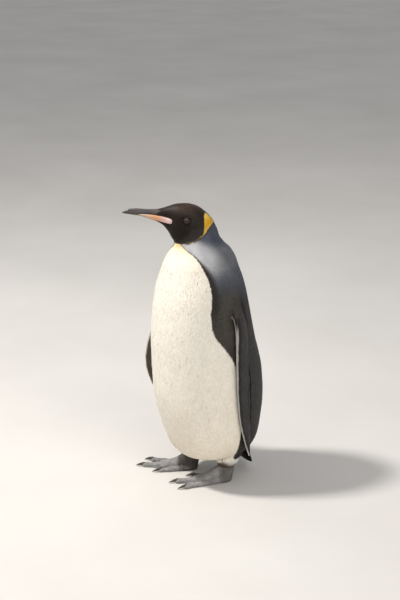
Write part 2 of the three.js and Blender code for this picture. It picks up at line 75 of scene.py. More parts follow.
def curve(xs, ys):
    """Monotone cubic through a small table."""
    xs, ys = np.asarray(xs, float), np.asarray(ys, float)
    h = np.diff(xs)
    d = np.diff(ys) / h
    n = len(xs)
    m = np.zeros(n)
    m[0], m[-1] = d[0], d[-1]
    for i in range(1, n - 1):
        if d[i - 1] * d[i] > 0:
            w1, w2 = 2 * h[i] + h[i - 1], h[i] + 2 * h[i - 1]
            m[i] = (w1 + w2) / (w1 / d[i - 1] + w2 / d[i])

    def f(x):
        x = np.clip(np.asarray(x, float), xs[0], xs[-1])
        i = np.clip(np.searchsorted(xs, x, side="right") - 1, 0, n - 2)
        t = (x - xs[i]) / h[i]
        t2, t3 = t * t, t * t * t
        return (2 * t3 - 3 * t2 + 1) * ys[i] + (t3 - 2 * t2 + t) * h[i] * m[i] + (-2 * t3 + 3 * t2) * ys[i + 1] + (t3 - t2) * h[i] * m[i + 1]
    return f


def column(table, k):
    return curve([r[0] for r in table], [r[k] for r in table])


def step(x, lo, hi):
    t = np.clip((np.asarray(x, float) - lo) / (hi - lo), 0, 1)
    return t * t * (3 - 2 * t)


def unit(v):
    return v / np.maximum(np.linalg.norm(v, axis=-1, keepdims=True), 1e-9)


A0 = radians(HEADING)
HF = np.array([-sin(A0), -cos(A0), 0.0])         # the head's forward
HL = np.array([cos(A0), -sin(A0), 0.0])          # the head's left
UP = np.array([0.0, 0.0, 1.0])
bF, bC, bW, bD, bN = [column(BODY, k) for k in range(1, 6)]
hT, hB, hW, hN = [column(HEAD, k) for k in range(1, 5)]
fLead, fTrail, fThick = [column(FLIP, k) for k in range(1, 4)]
tC, tW, tD = [column(TAIL, k) for k in range(1, 4)]
body_depth = curve([64, 100, 600, 650, 700, 777], [4.0, 6.0, 6.0, 4.6, 3.0, 2.8])
head_depth = curve([-22, 40, 66, 80, 100, 117], [2.8, 2.4, 2.0, 1.6, 1.1, 0.7])


def head_at(f, l, z):
    f, l, z = np.broadcast_arrays(np.asarray(f, float), np.asarray(l, float), np.asarray(z, float))
    return HF * f[..., None] + HL * l[..., None] + UP * z[..., None]


def box_mid(node):
    lo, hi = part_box(node)
    return (np.array(lo) + np.array(hi)) * 500.0


# where the bird's own axis stands in the row frame
mid = (box_mid("eye_L") + box_mid("eye_R")) / 2 - HF * EYE_FORWARD
SHIFT = np.array([mid[0], mid[1], 0.0])


def to_m(P):
    return (np.asarray(P, float) + SHIFT) / 1000.0


# ------------------------------------------------------------------ mesh helpers
def spow(x, p):
    return np.sign(x) * np.abs(x) ** p


def ring(c, u, ru, v, rv, n, t):
    """Superellipse ring through angles t."""
    x, y = ru * spow(np.cos(t), 2 / n), rv * spow(np.sin(t), 2 / n)
    return np.asarray(c) + x[:, None] * np.asarray(u) + y[:, None] * np.asarray(v)


def loft(rings, caps=True):
    R = np.asarray(rings)
    r, m, _ = R.shape
    V = R.reshape(-1, 3)
    i, j = np.meshgrid(np.arange(r - 1), np.arange(m), indexing="ij")
    a, b = (i * m + j).ravel(), (i * m + (j + 1) % m).ravel()
    F = np.stack([a, b, b + m, a + m], 1)
    T = np.zeros((0, 3), int)
    if caps:
        V = np.vstack([V, R[0].mean(0), R[-1].mean(0)])
        k = np.arange(m)
        o = (r - 1) * m
        T = np.vstack([np.stack([np.full(m, r * m), (k + 1) % m, k], 1), np.stack([np.full(m, r * m + 1), o + k, o + (k + 1) % m], 1)])
    return V, F, T


def build(name, V, quads=None, tris=None, smooth=True, scale=True):
    """A mesh object from vertex and face arrays; V in millimetres in the bird's own frame."""
    quads = np.zeros((0, 4), int) if quads is None else np.asarray(quads)
    tris = np.zeros((0, 3), int) if tris is None else np.asarray(tris)
    me = bpy.data.meshes.new(name)
    W = to_m(V) if scale else np.asarray(V, float)
    nq, nt = len(quads), len(tris)
    me.vertices.add(len(W))
    me.vertices.foreach_set("co", W.astype(np.float32).ravel())
    me.loops.add(4 * nq + 3 * nt)
    me.loops.foreach_set("vertex_index", np.concatenate([quads.ravel(), tris.ravel()]).astype(np.int32))
    me.polygons.add(nq + nt)
    me.polygons.foreach_set("loop_start", np.concatenate([np.arange(nq) * 4, 4 * nq + np.arange(nt) * 3]).astype(np.int32))
    me.polygons.foreach_set("use_smooth", np.full(nq + nt, smooth))
    me.update(calc_edges=True)
    ob = bpy.data.objects.new(name, me)
    bpy.context.scene.collection.objects.link(ob)
    return ob


def outward(ob):
    bm = bmesh.new()
    bm.from_mesh(ob.data)
    bmesh.ops.recalc_face_normals(bm, faces=bm.faces)
    if bm.calc_volume(signed=True) < 0:
        bmesh.ops.reverse_faces(bm, faces=bm.faces)
    bm.to_mesh(ob.data)
    bm.free()
    return ob


def coords(me):
    co = np.zeros(len(me.vertices) * 3, np.float32)
    me.vertices.foreach_get("co", co)
    return co.reshape(-1, 3).astype(float) * 1000.0 - SHIFT


def set_coords(me, P):
    me.vertices.foreach_set("co", to_m(P).astype(np.float32).ravel())
    me.update()


def apply_modifiers(ob):
    dg = bpy.context.evaluated_depsgraph_get()
    dg.update()
    me = bpy.data.meshes.new_from_object(ob.evaluated_get(dg))
    old = ob.data
    ob.modifiers.clear()
    ob.data = me
    bpy.data.meshes.remove(old)
    return ob


def drop(ob):
    me = ob.data
    bpy.data.objects.remove(ob)
    if me and me.users == 0:
        bpy.data.meshes.remove(me)


# ------------------------------------------------------------------ trunk and head
def body_frame(z):
    a = A0 * step(z, 600, 715)
    return np.array([cos(a), -sin(a), 0.0]), np.array([sin(a), cos(a), 0.0])


def body_ring(z, grow, t, z_out=None):
    u, v = body_frame(z)
    c = -HF * bF(z) + np.array([0, bC(z), 0.0]) + UP * (z if z_out is None else z_out)
    return ring(c, u, max(bW(z) + grow, 3.0), v, max(bD(z) + grow, 3.0), bN(z), t)


def body_skin():
    zs = np.concatenate([[64, 65.5, 67.5, 70, 73, 77, 82], np.arange(88, 640, 5.2), np.arange(640, 768, 3.6)])
    t = np.linspace(0, 2 * pi, 156, endpoint=False)
    rings = []
    for z in zs:
        d = float(body_depth(z))
        rings.append(body_ring(z, -d, t, z + d * (1 - step(z, 64, 95))))
    return loft(rings)


EYE_TILT = radians(-14.0)            # the lids' long axis dips to the rear


def head_side(f, z):
    c, h, n = (hT(f) + hB(f)) / 2, (hT(f) - hB(f)) / 2, hN(f)
    s = np.clip(np.abs((z - c) / h), 0, 0.999)
    return hW(f) * (1 - s ** n) ** (1 / n)


EYE_OUT = float(head_side(EYE_FORWARD, EYE_HEIGHT)) - EYE_SINK
LID_A, LID_B = 6.6, 3.5              # half sizes of the opening between the lids


def lid_place(f, z):
    """Along and across the opening of the lids, from the eye's centre."""
    x, y = f - EYE_FORWARD, z - EYE_HEIGHT
    return x * cos(EYE_TILT) - y * sin(EYE_TILT), x * sin(EYE_TILT) + y * cos(EYE_TILT)


def lid_shape(f, l, z):
    """New distance from the head's middle plane for skin near an eye."""
    side = np.where(l >= 0, 1.0, -1.0)
    out = np.abs(l)
    p, q = lid_place(f, z)
    r = np.hypot(p, q)
    shell = EYE_RADIUS + 0.85
    dome = EYE_OUT + np.sqrt(np.maximum(shell ** 2 - r ** 2, 0.0))
    k = 2.2
    near = r < shell
    h = np.clip(0.5 + 0.5 * (dome - out) / k, 0, 1)
    blend = out * (1 - h) + dome * h + k * h * (1 - h) * 0.5
    new = np.where(near, blend, out)
    # shallow trough round the orbit and a brow above it
    new = new - 1.0 * np.exp(-((r - 12.0) / 2.6) ** 2) * (0.65 - 0.35 * np.clip(q / 9, -1, 1))
    new = new + 1.5 * np.exp(-((p / 11) ** 2 + ((q - 11.5) / 4.2) ** 2))
    # opening between the lids: lower edge flatter, upper edge drooping
    upper = LID_B * 0.92 * np.sqrt(np.clip(1 - (p / LID_A) ** 2, 0, 1)) ** 1.15
    lower = LID_B * 0.88 * np.sqrt(np.clip(1 - ((p + 0.4) / LID_A) ** 2, 0, 1)) ** 1.3
    edge = np.where(q >= 0, upper, lower)
    e = (edge - np.abs(q)) / 0.55
    inside = step(e, -0.25, 0.9) * (np.abs(p) < LID_A + 0.5)
    ball = EYE_OUT + np.sqrt(np.maximum(EYE_RADIUS ** 2 - r ** 2, 0.0)) - 1.5
    # rims of the lids and the folds that run over them
    gap = np.abs(q) - edge
    rim = 0.55 * np.exp(-((gap - 0.75) / 0.6) ** 2)
    fold = -0.5 * np.exp(-((gap - 2.7) / 0.55) ** 2) + 0.28 * np.exp(-((gap - 3.7) / 0.7) ** 2) - 0.3 * np.exp(-((gap - 5.0) / 0.5) ** 2)
    taper = np.exp(-(p / (LID_A + 2.5)) ** 6)
    new = new + (rim + fold * np.where(q > 0, 1.0, 0.75)) * taper * (r < 13)
    new = new * (1 - inside) + np.minimum(ball, new) * inside
    return side * new


def head_skin():
    near = np.arange(20, 48.5, 0.55)
    fs = np.concatenate([[-21.5, -20.5, -19, -17, -15, -13], np.arange(-10.5, 20, 2.2), near, np.arange(50, 118, 2.0)])
    # heights sampled finely beside the eyes: angles from heights at the widest section
    fine = np.linspace(EYE_HEIGHT - 14, EYE_HEIGHT + 15, 52)
    c, h, n = float((hT(34) + hB(34)) / 2), float((hT(34) - hB(34)) / 2), float(hN(34))
    ang = np.arcsin(spow(np.clip((fine - c) / h, -1, 1), n / 2))
    lo, hi = ang[0], ang[-1]
    right = np.concatenate([ang, np.linspace(hi, pi - hi, 26)[1:-1], pi - ang[::-1], np.linspace(pi - lo, 2 * pi + lo, 46)[1:-1]])
    rings = []
    for f in fs:
        d = float(head_depth(f))
        fo = f + d * (1 - step(f, -22, -8))
        c, h = float((hT(f) + hB(f)) / 2), float((hT(f) - hB(f)) / 2) - d
        R = ring(head_at(fo, 0, c), HL, max(float(hW(f)) - d, 2.0), UP, max(h, 3.0), float(hN(f)), right)
        fl, ll, zl = R @ HF, R @ HL, R[:, 2]
        p, q = lid_place(fl, zl)
        on = (np.hypot(p, q) < 20) & (np.abs(ll) > 8)
        ll2 = np.where(on, lid_shape(fl, ll, zl), ll)
        rings.append(head_at(fl, ll2, zl))
    return loft(rings)


# ------------------------------------------------------------------ flippers
SHOULDER = np.array([124.0, 59.0, 541.0])
TUCK_L = curve([0, 25, 55, 90, 250, 452], [-24, -15, -6, -1, 3, -1])
TUCK_R = curve([0, 40, 110, 200, 300, 380, 452], [-14, -2, 10, 17, 14, 2, -14])


def flipper_frame(side):
    left = side > 0
    ab, sw = radians(1.2 if left else 21.0), radians(0.7 if left else 0.0)
    down = unit(np.array([side * sin(ab), sin(sw), -cos(ab) * cos(sw)]))
    b = np.array([0.46, -0.888, 0.0]) if left else np.array([-0.12, -0.993, 0.0])
    b = unit(b - down * (b @ down))
    out = unit(np.cross(down, b))
    if out[0] * side < 0:
        out = -out
    root = SHOULDER if left else np.array([-SHOULDER[0] + 18, SHOULDER[1] - 61, SHOULDER[2]])
    return down, b, out, root


def flipper_mid(s, side):
    """Offset of the blade's middle line along its width and outwards."""
    sweep = 0.0 if side > 0 else 30.0 * np.sin(pi * np.clip(np.asarray(s, float) / FLIP_LENGTH, 0, 1) ** 1.25)
    tuck = (TUCK_L if side > 0 else TUCK_R)(s)
    return (fLead(s) + fTrail(s)) / 2 + sweep, tuck


def flipper_skin(side):
    down, b, out, root = flipper_frame(side)
    t = np.linspace(0, 2 * pi, 48, endpoint=False)
    ss = np.concatenate([np.arange(0, 430, 3.6), [432, 437, 442, 446, 449]])
    rings = []
    for s in ss:
        m, tuck = flipper_mid(s, side)
        d = 1.1 - 0.5 * step(s, 300, 452)
        half, th = (fLead(s) - fTrail(s)) / 2 - d * 1.2, max(fThick(s) / 2 - d, 0.45)
        c = root + down * s + b * m + out * tuck
        # foil section: full in front, fine behind
        x = half * spow(np.cos(t), 0.95)
        y = th * spow(np.sin(t), 0.9) * (1 + 0.28 * np.cos(t)) * (1 - 0.25 * np.clip(-np.cos(t), 0, 1) ** 2)
        rings.append(c + x[:, None] * b + y[:, None] * out)
    return loft(rings)


# ------------------------------------------------------------------ tail stub, shanks, feet
def tail_skin():
    t = np.linspace(0, 2 * pi, 60, endpoint=False)
    rings = []
    for z in np.arange(62, 141, 3.0):
        k = 0.35 + 0.65 * step(z, 58, 100)
        rings.append(ring([0, float(tC(z)), z], [1, 0, 0], float(tW(z) - 5) * k ** 0.5, [0, 1, 0], float(tD(z) - 6) * k, 2.2, t))
    return loft(rings)


def foot_frame(side):
    left = side > 0
    a = radians(22.0 if left else 32.0)
    heel = np.array([62.0, 66.0]) if left else np.array([-46.0, 15.0])
    f = np.array([-sin(a), -cos(a), 0.0])
    o = np.array([side * cos(a), -side * sin(a), 0.0])
    return f, o, np.array([heel[0], heel[1], 0.0])


def foot_at(side, u, w, z):
    f, o, heel = foot_frame(side)
    u, w, z = np.broadcast_arrays(np.asarray(u, float), np.asarray(w, float), np.asarray(z, float))
    return heel + f * u[..., None] + o * w[..., None] + UP * z[..., None]


TOES = [dict(name="inner", angle=-12.5, length=126.0, root=(16.0, -9.0), fat=0.92),
        dict(name="middle", angle=1.2, length=176.0, root=(14.0, 1.0), fat=1.08),
        dict(name="outer", angle=14.5, length=156.0, root=(14.0, 10.0), fat=1.0)]


def shank_skin(side):
    f, o, heel = foot_frame(side)
    t = np.linspace(0, 2 * pi, 56, endpoint=False)
    zs = np.arange(47, 128, 2.6)
    c1, c2, c3, c4 = [column(SHANK, k) for k in range(1, 5)]
    rings = []
    for z in zs:
        d = 2.2 + 2.0 * step(z, 50, 80)
        rings.append(ring(foot_at(side, c1(z), c2(z), z), f, float(c3(z)) - d, o, float(c4(z)) - d, 2.1, t))
    return loft(rings)


def foot_skin(side):
    """Toes with knuckles, web, heel and instep, joined by a fine remesh."""
    f, o, heel = foot_frame(side)
    parts = []
    t = np.linspace(0, 2 * pi, 28, endpoint=False)
    for toe in TOES:
        a = radians(toe["angle"])
        end = toe["length"] - CLAW + 3
        rings = []
        for k in np.linspace(0, 1, 48):
            u = toe["root"][0] + (end - toe["root"][0]) * k
            w = toe["root"][1] + np.tan(a) * (u - toe["root"][0])
            joint = 1 + 0.10 * cos(2 * pi * 3.0 * k + 0.4) * (0.4 + 0.6 * k)
            tip = sqrt(max(1 - (max(k - 0.93, 0) / 0.07) ** 2, 0.02)) * 0.35 + 0.65 if k > 0.93 else 1.0
            r = TOE * toe["fat"] * (1 - 0.24 * k) * joint * tip
            h = (15.5 - 5.2 * k) * toe["fat"] * (0.5 + 0.5 * joint) * tip
            rings.append(ring(foot_at(side, u, w, h * 0.42), o, r, UP, h * 0.62, 2.15, t))
        parts.append(loft(rings))
    # web: thin, sagging between the toes, hollowed in front
    for ta, tb in ((TOES[0], TOES[1]), (TOES[1], TOES[2])):
        n, m = 22, 40
        along = lambda toe, u: toe["root"][1] + np.tan(radians(toe["angle"])) * (u - toe["root"][0])
        top, bot = np.zeros((m, n, 3)), np.zeros((m, n, 3))
        for i, k in enumerate(np.linspace(0, 1, n)):
            ua, ub = ta["length"] - CLAW - 4, tb["length"] - CLAW - 4
            front = ua + (ub - ua) * k - sin(pi * k) * 19
            for j, g in enumerate(np.linspace(0, 1, m)):
                u = 20 + (front - 20) * g
                w = along(ta, u) * (1 - k) + along(tb, u) * k
                sag = sin(pi * k) ** 0.8
                z = 3.6 + 6.5 * (1 - g) ** 1.3 - 1.6 * sag * g + 0.5 * sin(9 * k + 14 * g) * sag * g
                top[j, i] = foot_at(side, u, w, z)
                bot[j, i] = foot_at(side, u, w, 0.1)
        V = np.vstack([top.reshape(-1, 3), bot.reshape(-1, 3)])
        q = []
        for j in range(m - 1):
            for i in range(n - 1):
                a_, b_, c_, d_ = j * n + i, j * n + i + 1, (j + 1) * n + i + 1, (j + 1) * n + i
                q += [[a_, b_, c_, d_], [m * n + a_, m * n + d_, m * n + c_, m * n + b_]]
        for j in range(m - 1):
            for i, fl in ((0, False), (n - 1, True)):
                a_, b_ = j * n + i, (j + 1) * n + i
                q.append([a_, b_, m * n + b_, m * n + a_] if not fl else [b_, a_, m * n + a_, m * n + b_])
        for i in range(n - 1):
            for j, fl in ((0, True), (m - 1, False)):
                a_, b_ = j * n + i, j * n + i + 1
                q.append([a_, b_, m * n + b_, m * n + a_] if fl is False else [b_, a_, m * n + a_, m * n + b_])
        parts.append((V, np.array(q), np.zeros((0, 3), int)))
    inst = [[-0.5, 17, 1, 16, 14], [3, 17.3, 1, 18.6, 16.8], [8, 17.8, 1, 20.2, 18], [14, 18, 1, 21, 18.5], [26, 16, 1, 21.5, 18.5],
            [38, 14, 1, 21.0, 18], [56, 13, 1, 20.5, 17]]
    cs = [column(inst, k) for k in range(1, 5)]
    parts.append(loft([ring(foot_at(side, cs[0](z), cs[1](z), z), f, float(cs[2](z)), o, float(cs[3](z)), 2.2, t) for z in np.arange(-0.5, 56.1, 1.6)]))
    slope = [[14, 56, 16], [30, 52, 17], [46, 41, 18], [64, 29, 19], [86, 21, 18.5], [108, 15, 16]]
    s1, s2 = column(slope, 1), column(slope, 2)
    parts.append(loft([ring(foot_at(side, u, 1 + u * 0.03, s1(u) / 2 - 2), o, float(s2(u)), UP, float(s1(u)) / 2 + 2, 2.2, t) for u in np.arange(14, 108.1, 2.2)]))
    parts.append(loft([ring(foot_at(side, 12 + 20 * k, -14 - 7 * k, 7 - 1.5 * k), o, 5 - 2.6 * k, UP, 5 - 2.6 * k, 2, t) for k in np.linspace(0, 1, 14)]))
    V, Q, T, base = [], [], [], 0
    for v, q, tr in parts:
        V.append(v)
        Q.append(q + base)
        T.append(tr + base)
        base += len(v)
    ob = outward(build("foot_raw", np.vstack(V), np.vstack(Q), np.vstack(T)))
    rm = ob.modifiers.new("r", "REMESH")
    rm.mode, rm.voxel_size, rm.use_smooth_shade = "VOXEL", 0.00145, True
    apply_modifiers(ob)
    sm = ob.modifiers.new("s", "SMOOTH")
    sm.factor, sm.iterations = 0.5, 4
    apply_modifiers(ob)
    P = coords(ob.data)
    P[:, 2] = np.maximum(P[:, 2], 0.0)
    set_coords(ob.data, P)
    return ob


def make_skin():
    pieces = [outward(build("p", *x)) for x in (body_skin(), head_skin(), flipper_skin(1), flipper_skin(-1), tail_skin(), shank_skin(1), shank_skin(-1))]
    pieces += [foot_skin(1), foot_skin(-1)]
    clouds = [coords(p.data) for p in pieces]
    trees = []
    for p in pieces:
        bm = bmesh.new()
        bm.from_mesh(p.data)
        trees.append(BVHTree.FromBMesh(bm))
        bm.free()
    skin = pieces[0]
    skin.name = skin.data.name = "skin"
    for p in pieces[1:]:
        mod = skin.modifiers.new("join", "BOOLEAN")
        mod.operation, mod.solver, mod.object = "UNION", "MANIFOLD", p
        apply_modifiers(skin)
    for p in pieces[1:]:
        drop(p)
    skin.data.name = "skin"
    return skin, trees


skin, PART_TREES = make_skin()
print("skin", len(skin.data.vertices), "verts", len(skin.data.polygons), "faces")


# ------------------------------------------------------------------ soften the throat and nape where head meets neck
def edges_of(me):
    e = np.zeros(len(me.edges) * 2, np.int32)
    me.edges.foreach_get("vertices", e)
    return e.reshape(-1, 2)


def nearest(tree, P):
    """Nearest place, face normal and distance on a tree, for points in millimetres."""
    Q = to_m(P)
    loc, nor, dis = np.zeros_like(Q), np.zeros_like(Q), np.zeros(len(Q))
    for i, q in enumerate(Q):
        a, b, _, d = tree.find_nearest(q)
        loc[i], nor[i], dis[i] = a, b, d
    return loc * 1000.0 - SHIFT, nor, dis * 1000.0


def relax(ob, weight, rounds):
    P, E = coords(ob.data), edges_of(ob.data)
    n = len(P)
    deg = np.maximum(np.bincount(E.ravel(), minlength=n), 1)
    for _ in range(rounds):
        S = np.stack([np.bincount(E[:, 0], P[E[:, 1], k], n) + np.bincount(E[:, 1], P[E[:, 0], k], n) for k in range(3)], 1)
        P = P + weight[:, None] * (S / deg[:, None] - P) * 0.6
    set_coords(ob.data, P)


def near_eye(P):
    f, l, z = P @ HF, P @ HL, P[:, 2]
    p, q = lid_place(f, z)
    return np.where(np.abs(l) > 12, np.hypot(p, q), 99.0)


P = coords(skin.data)
w = np.zeros(len(P))
zone = np.where((P[:, 2] > 655) & (P @ HF < 75))[0]
_, _, db = nearest(PART_TREES[0], P[zone])
_, _, dh = nearest(PART_TREES[1], P[zone])
w[zone] = np.exp(-(np.maximum(db, dh) / 8.0) ** 2)
w *= step(near_eye(P), 16, 24)
relax(skin, w, 60)
# shoulders: the flippers grow out of the body without a step
P = coords(skin.data)
w = np.zeros(len(P))
for side, tree in ((1, PART_TREES[2]), (-1, PART_TREES[3])):
    down, b_, out_, root = flipper_frame(side)
    s_ = (P - root) @ down
    zone = np.where((s_ > -30) & (s_ < 78) & (P[:, 0] * side > 30) & (P[:, 2] > 380))[0]
    _, _, d0 = nearest(PART_TREES[0], P[zone])
    _, _, d1 = nearest(tree, P[zone])
    w[zone] = np.maximum(w[zone], np.exp(-(np.maximum(d0, d1) / 9.0) ** 2) * (1 - step(s_[zone], 34, 78)))
relax(skin, w, 70)


# ------------------------------------------------------------------ regions and markings
BODY_R, HEAD_R, FLIP_L, FLIP_R, TAIL_R, SHANK_R, FOOT_R = range(7)


def body_local(P):
    z = P[:, 2]
    a = A0 * step(z, 600, 715)
    f = bF(z)
    x, y = P[:, 0] + HF[0] * f, P[:, 1] + HF[1] * f - bC(z)
    return x * np.cos(a) - y * np.sin(a), x * np.sin(a) + y * np.cos(a)


def body_field(P):
    lx, ly = body_local(P)
    z = np.clip(P[:, 2], 64, 777)
    n = bN(z)
    return (np.abs(lx / bW(z)) ** n + np.abs(ly / bD(z)) ** n) ** (1 / n)


def head_field(P):
    f, l, z = P @ HF, P @ HL, P[:, 2]
    fc = np.clip(f, -22, 124)
    c, h, n = (hT(fc) + hB(fc)) / 2, (hT(fc) - hB(fc)) / 2, hN(fc)
    v = (np.abs(l / hW(fc)) ** n + np.abs((z - c) / h) ** n) ** (1 / n)
    return v + np.maximum(-22 - f, 0) / 10


def flipper_local(P, side):
    down, b, out, root = flipper_frame(side)
    q = P - root
    s, w_, o = q @ down, q @ b, q @ out
    m, tuck = flipper_mid(s, side)
    half, th = (fLead(s) - fTrail(s)) / 2, fThick(s) / 2
    return s, (w_ - m) / half, (o - tuck) / th, half, th


def in_flipper(P, side, slack=0.0, top=-2.0):
    s, x, y, half, th = flipper_local(P, side)
    x, y = np.abs(x) * half / (half + slack), np.abs(y) * th / (th + slack)
    return (s > top) & (s < 452 + slack) & ((x ** 2.2 + y ** 2.2) ** (1 / 2.2) < 1.0)


def region_of(P):
    bf, hfv = body_field(P), head_field(P)
    r = np.full(len(P), BODY_R)
    dh, db = np.abs(hfv - 0.93) * 34, np.abs(bf - 0.95) * 60
    f = P @ HF
    r[(P[:, 2] > 676) & ((dh < db) | (f > 66))] = HEAD_R
    low = P[:, 2] < 130
    r[low & (bf > 1.0) & (P[:, 1] > 92) & (np.abs(P[:, 0]) < 50)] = TAIL_R
    out = low & (bf > 0.985) & (P[:, 1] < 104) & (P[:, 2] < 100)
    r[(out | (P[:, 2] < 66)) & (r != TAIL_R)] = SHANK_R
    r[(P[:, 2] < 50) & (r != TAIL_R)] = FOOT_R
    for side, tag in ((1, FLIP_L), (-1, FLIP_R)):
        s, x, y, half, th = flipper_local(P, side)
        a = (s > 26 + 9 * x) & (s < 453) & (np.abs(x) < 1.03) & (np.abs(y) < 1.05) & ((s > 40) | (bf > 0.97))
        r[a & (bf > 0.9)] = tag
    return r


border = curve([64, 120, 200, 300, 340, 376, 407, 432, 451, 482, 520, 543, 577, 616, 646, 664, 674, 682.5, 692, 720],
               [104, 101, 102, 101, 100.5, 98.5, 92.3, 85.7, 80.0, 74.9, 74.2, 76.6, 77.2, 73.5, 71.0, 64.1, 51.1, 36.8, 28, 22])
band = curve([60, 300, 430, 480, 540, 577, 620, 650, 668, 682, 700], [7, 8, 11, 12, 11, 9.5, 8.5, 6, 4, 2.8, 1.8])
hood_back = curve([690, 709.7, 717, 729, 740, 752, 760, 765.5, 771, 776, 783], [1, -5.5, -9.0, -10.6, -11.6, -11.2, -10.4, -12.5, -17, -22, -25])
hood_low = curve([-30, -5, 0, 7.3, 18.3, 29, 44, 60.6, 76], [716, 712, 709.5, 703.7, 698.4, 695, 689, 685.8, 683])
patch_back = curve([690, 694.8, 703.5, 713.4, 718.3, 727, 735, 740, 745, 752], [29, 19.6, 2.6, -9.9, -14.4, -20.2, -27.3, -33, -38, -44])

# the silver shoulder colour holds painted sunlight as well as the plumage's own silver-grey
C = {k: np.array(v) for k, v in dict(
    white=(0.86, 0.83, 0.765), cream=(0.85, 0.765, 0.615), gold=(0.66, 0.41, 0.075), peach=(0.90, 0.77, 0.50),
    black=(0.0155, 0.0115, 0.0095), hood=(0.0165, 0.0102, 0.0068), line=(0.016, 0.012, 0.010),
    # the nape colour is a painted shadow of the head
    silver_sunlit=(0.40, 0.40, 0.415), nape_shadow=(0.064, 0.074, 0.102), slate=(0.075, 0.083, 0.102), back=(0.0155, 0.0142, 0.0142), tip=(0.076, 0.081, 0.093),
    olive=(0.088, 0.077, 0.061), warm=(0.094, 0.079, 0.062), brown=(0.020, 0.0155, 0.013), yellow=(0.66, 0.345, 0.004), pale=(0.78, 0.56, 0.13), flip=(0.028, 0.0268, 0.028),
    fliptip=(0.080, 0.076, 0.076), under=(0.78, 0.74, 0.66), shank=(0.16, 0.12, 0.09), foot=(0.045, 0.042, 0.040)).items()}


def mix(a, b, t):
    return a + (b - a) * np.clip(t, 0, 1)[:, None]


def plain(n, key):
    return np.tile(C[key], (n, 1))


def ripple(P, scale, seed):
    """Cheap smooth noise, about -1 to 1, made of a few tilted waves."""
    r = np.random.default_rng(seed)
    out = np.zeros(len(P))
    for k in range(6):
        d = unit(r.normal(size=3))
        out += np.sin(P @ d / scale * (1 + 0.7 * k) + r.uniform(0, 6.28)) / (1 + 0.5 * k)
    return out / 2.2


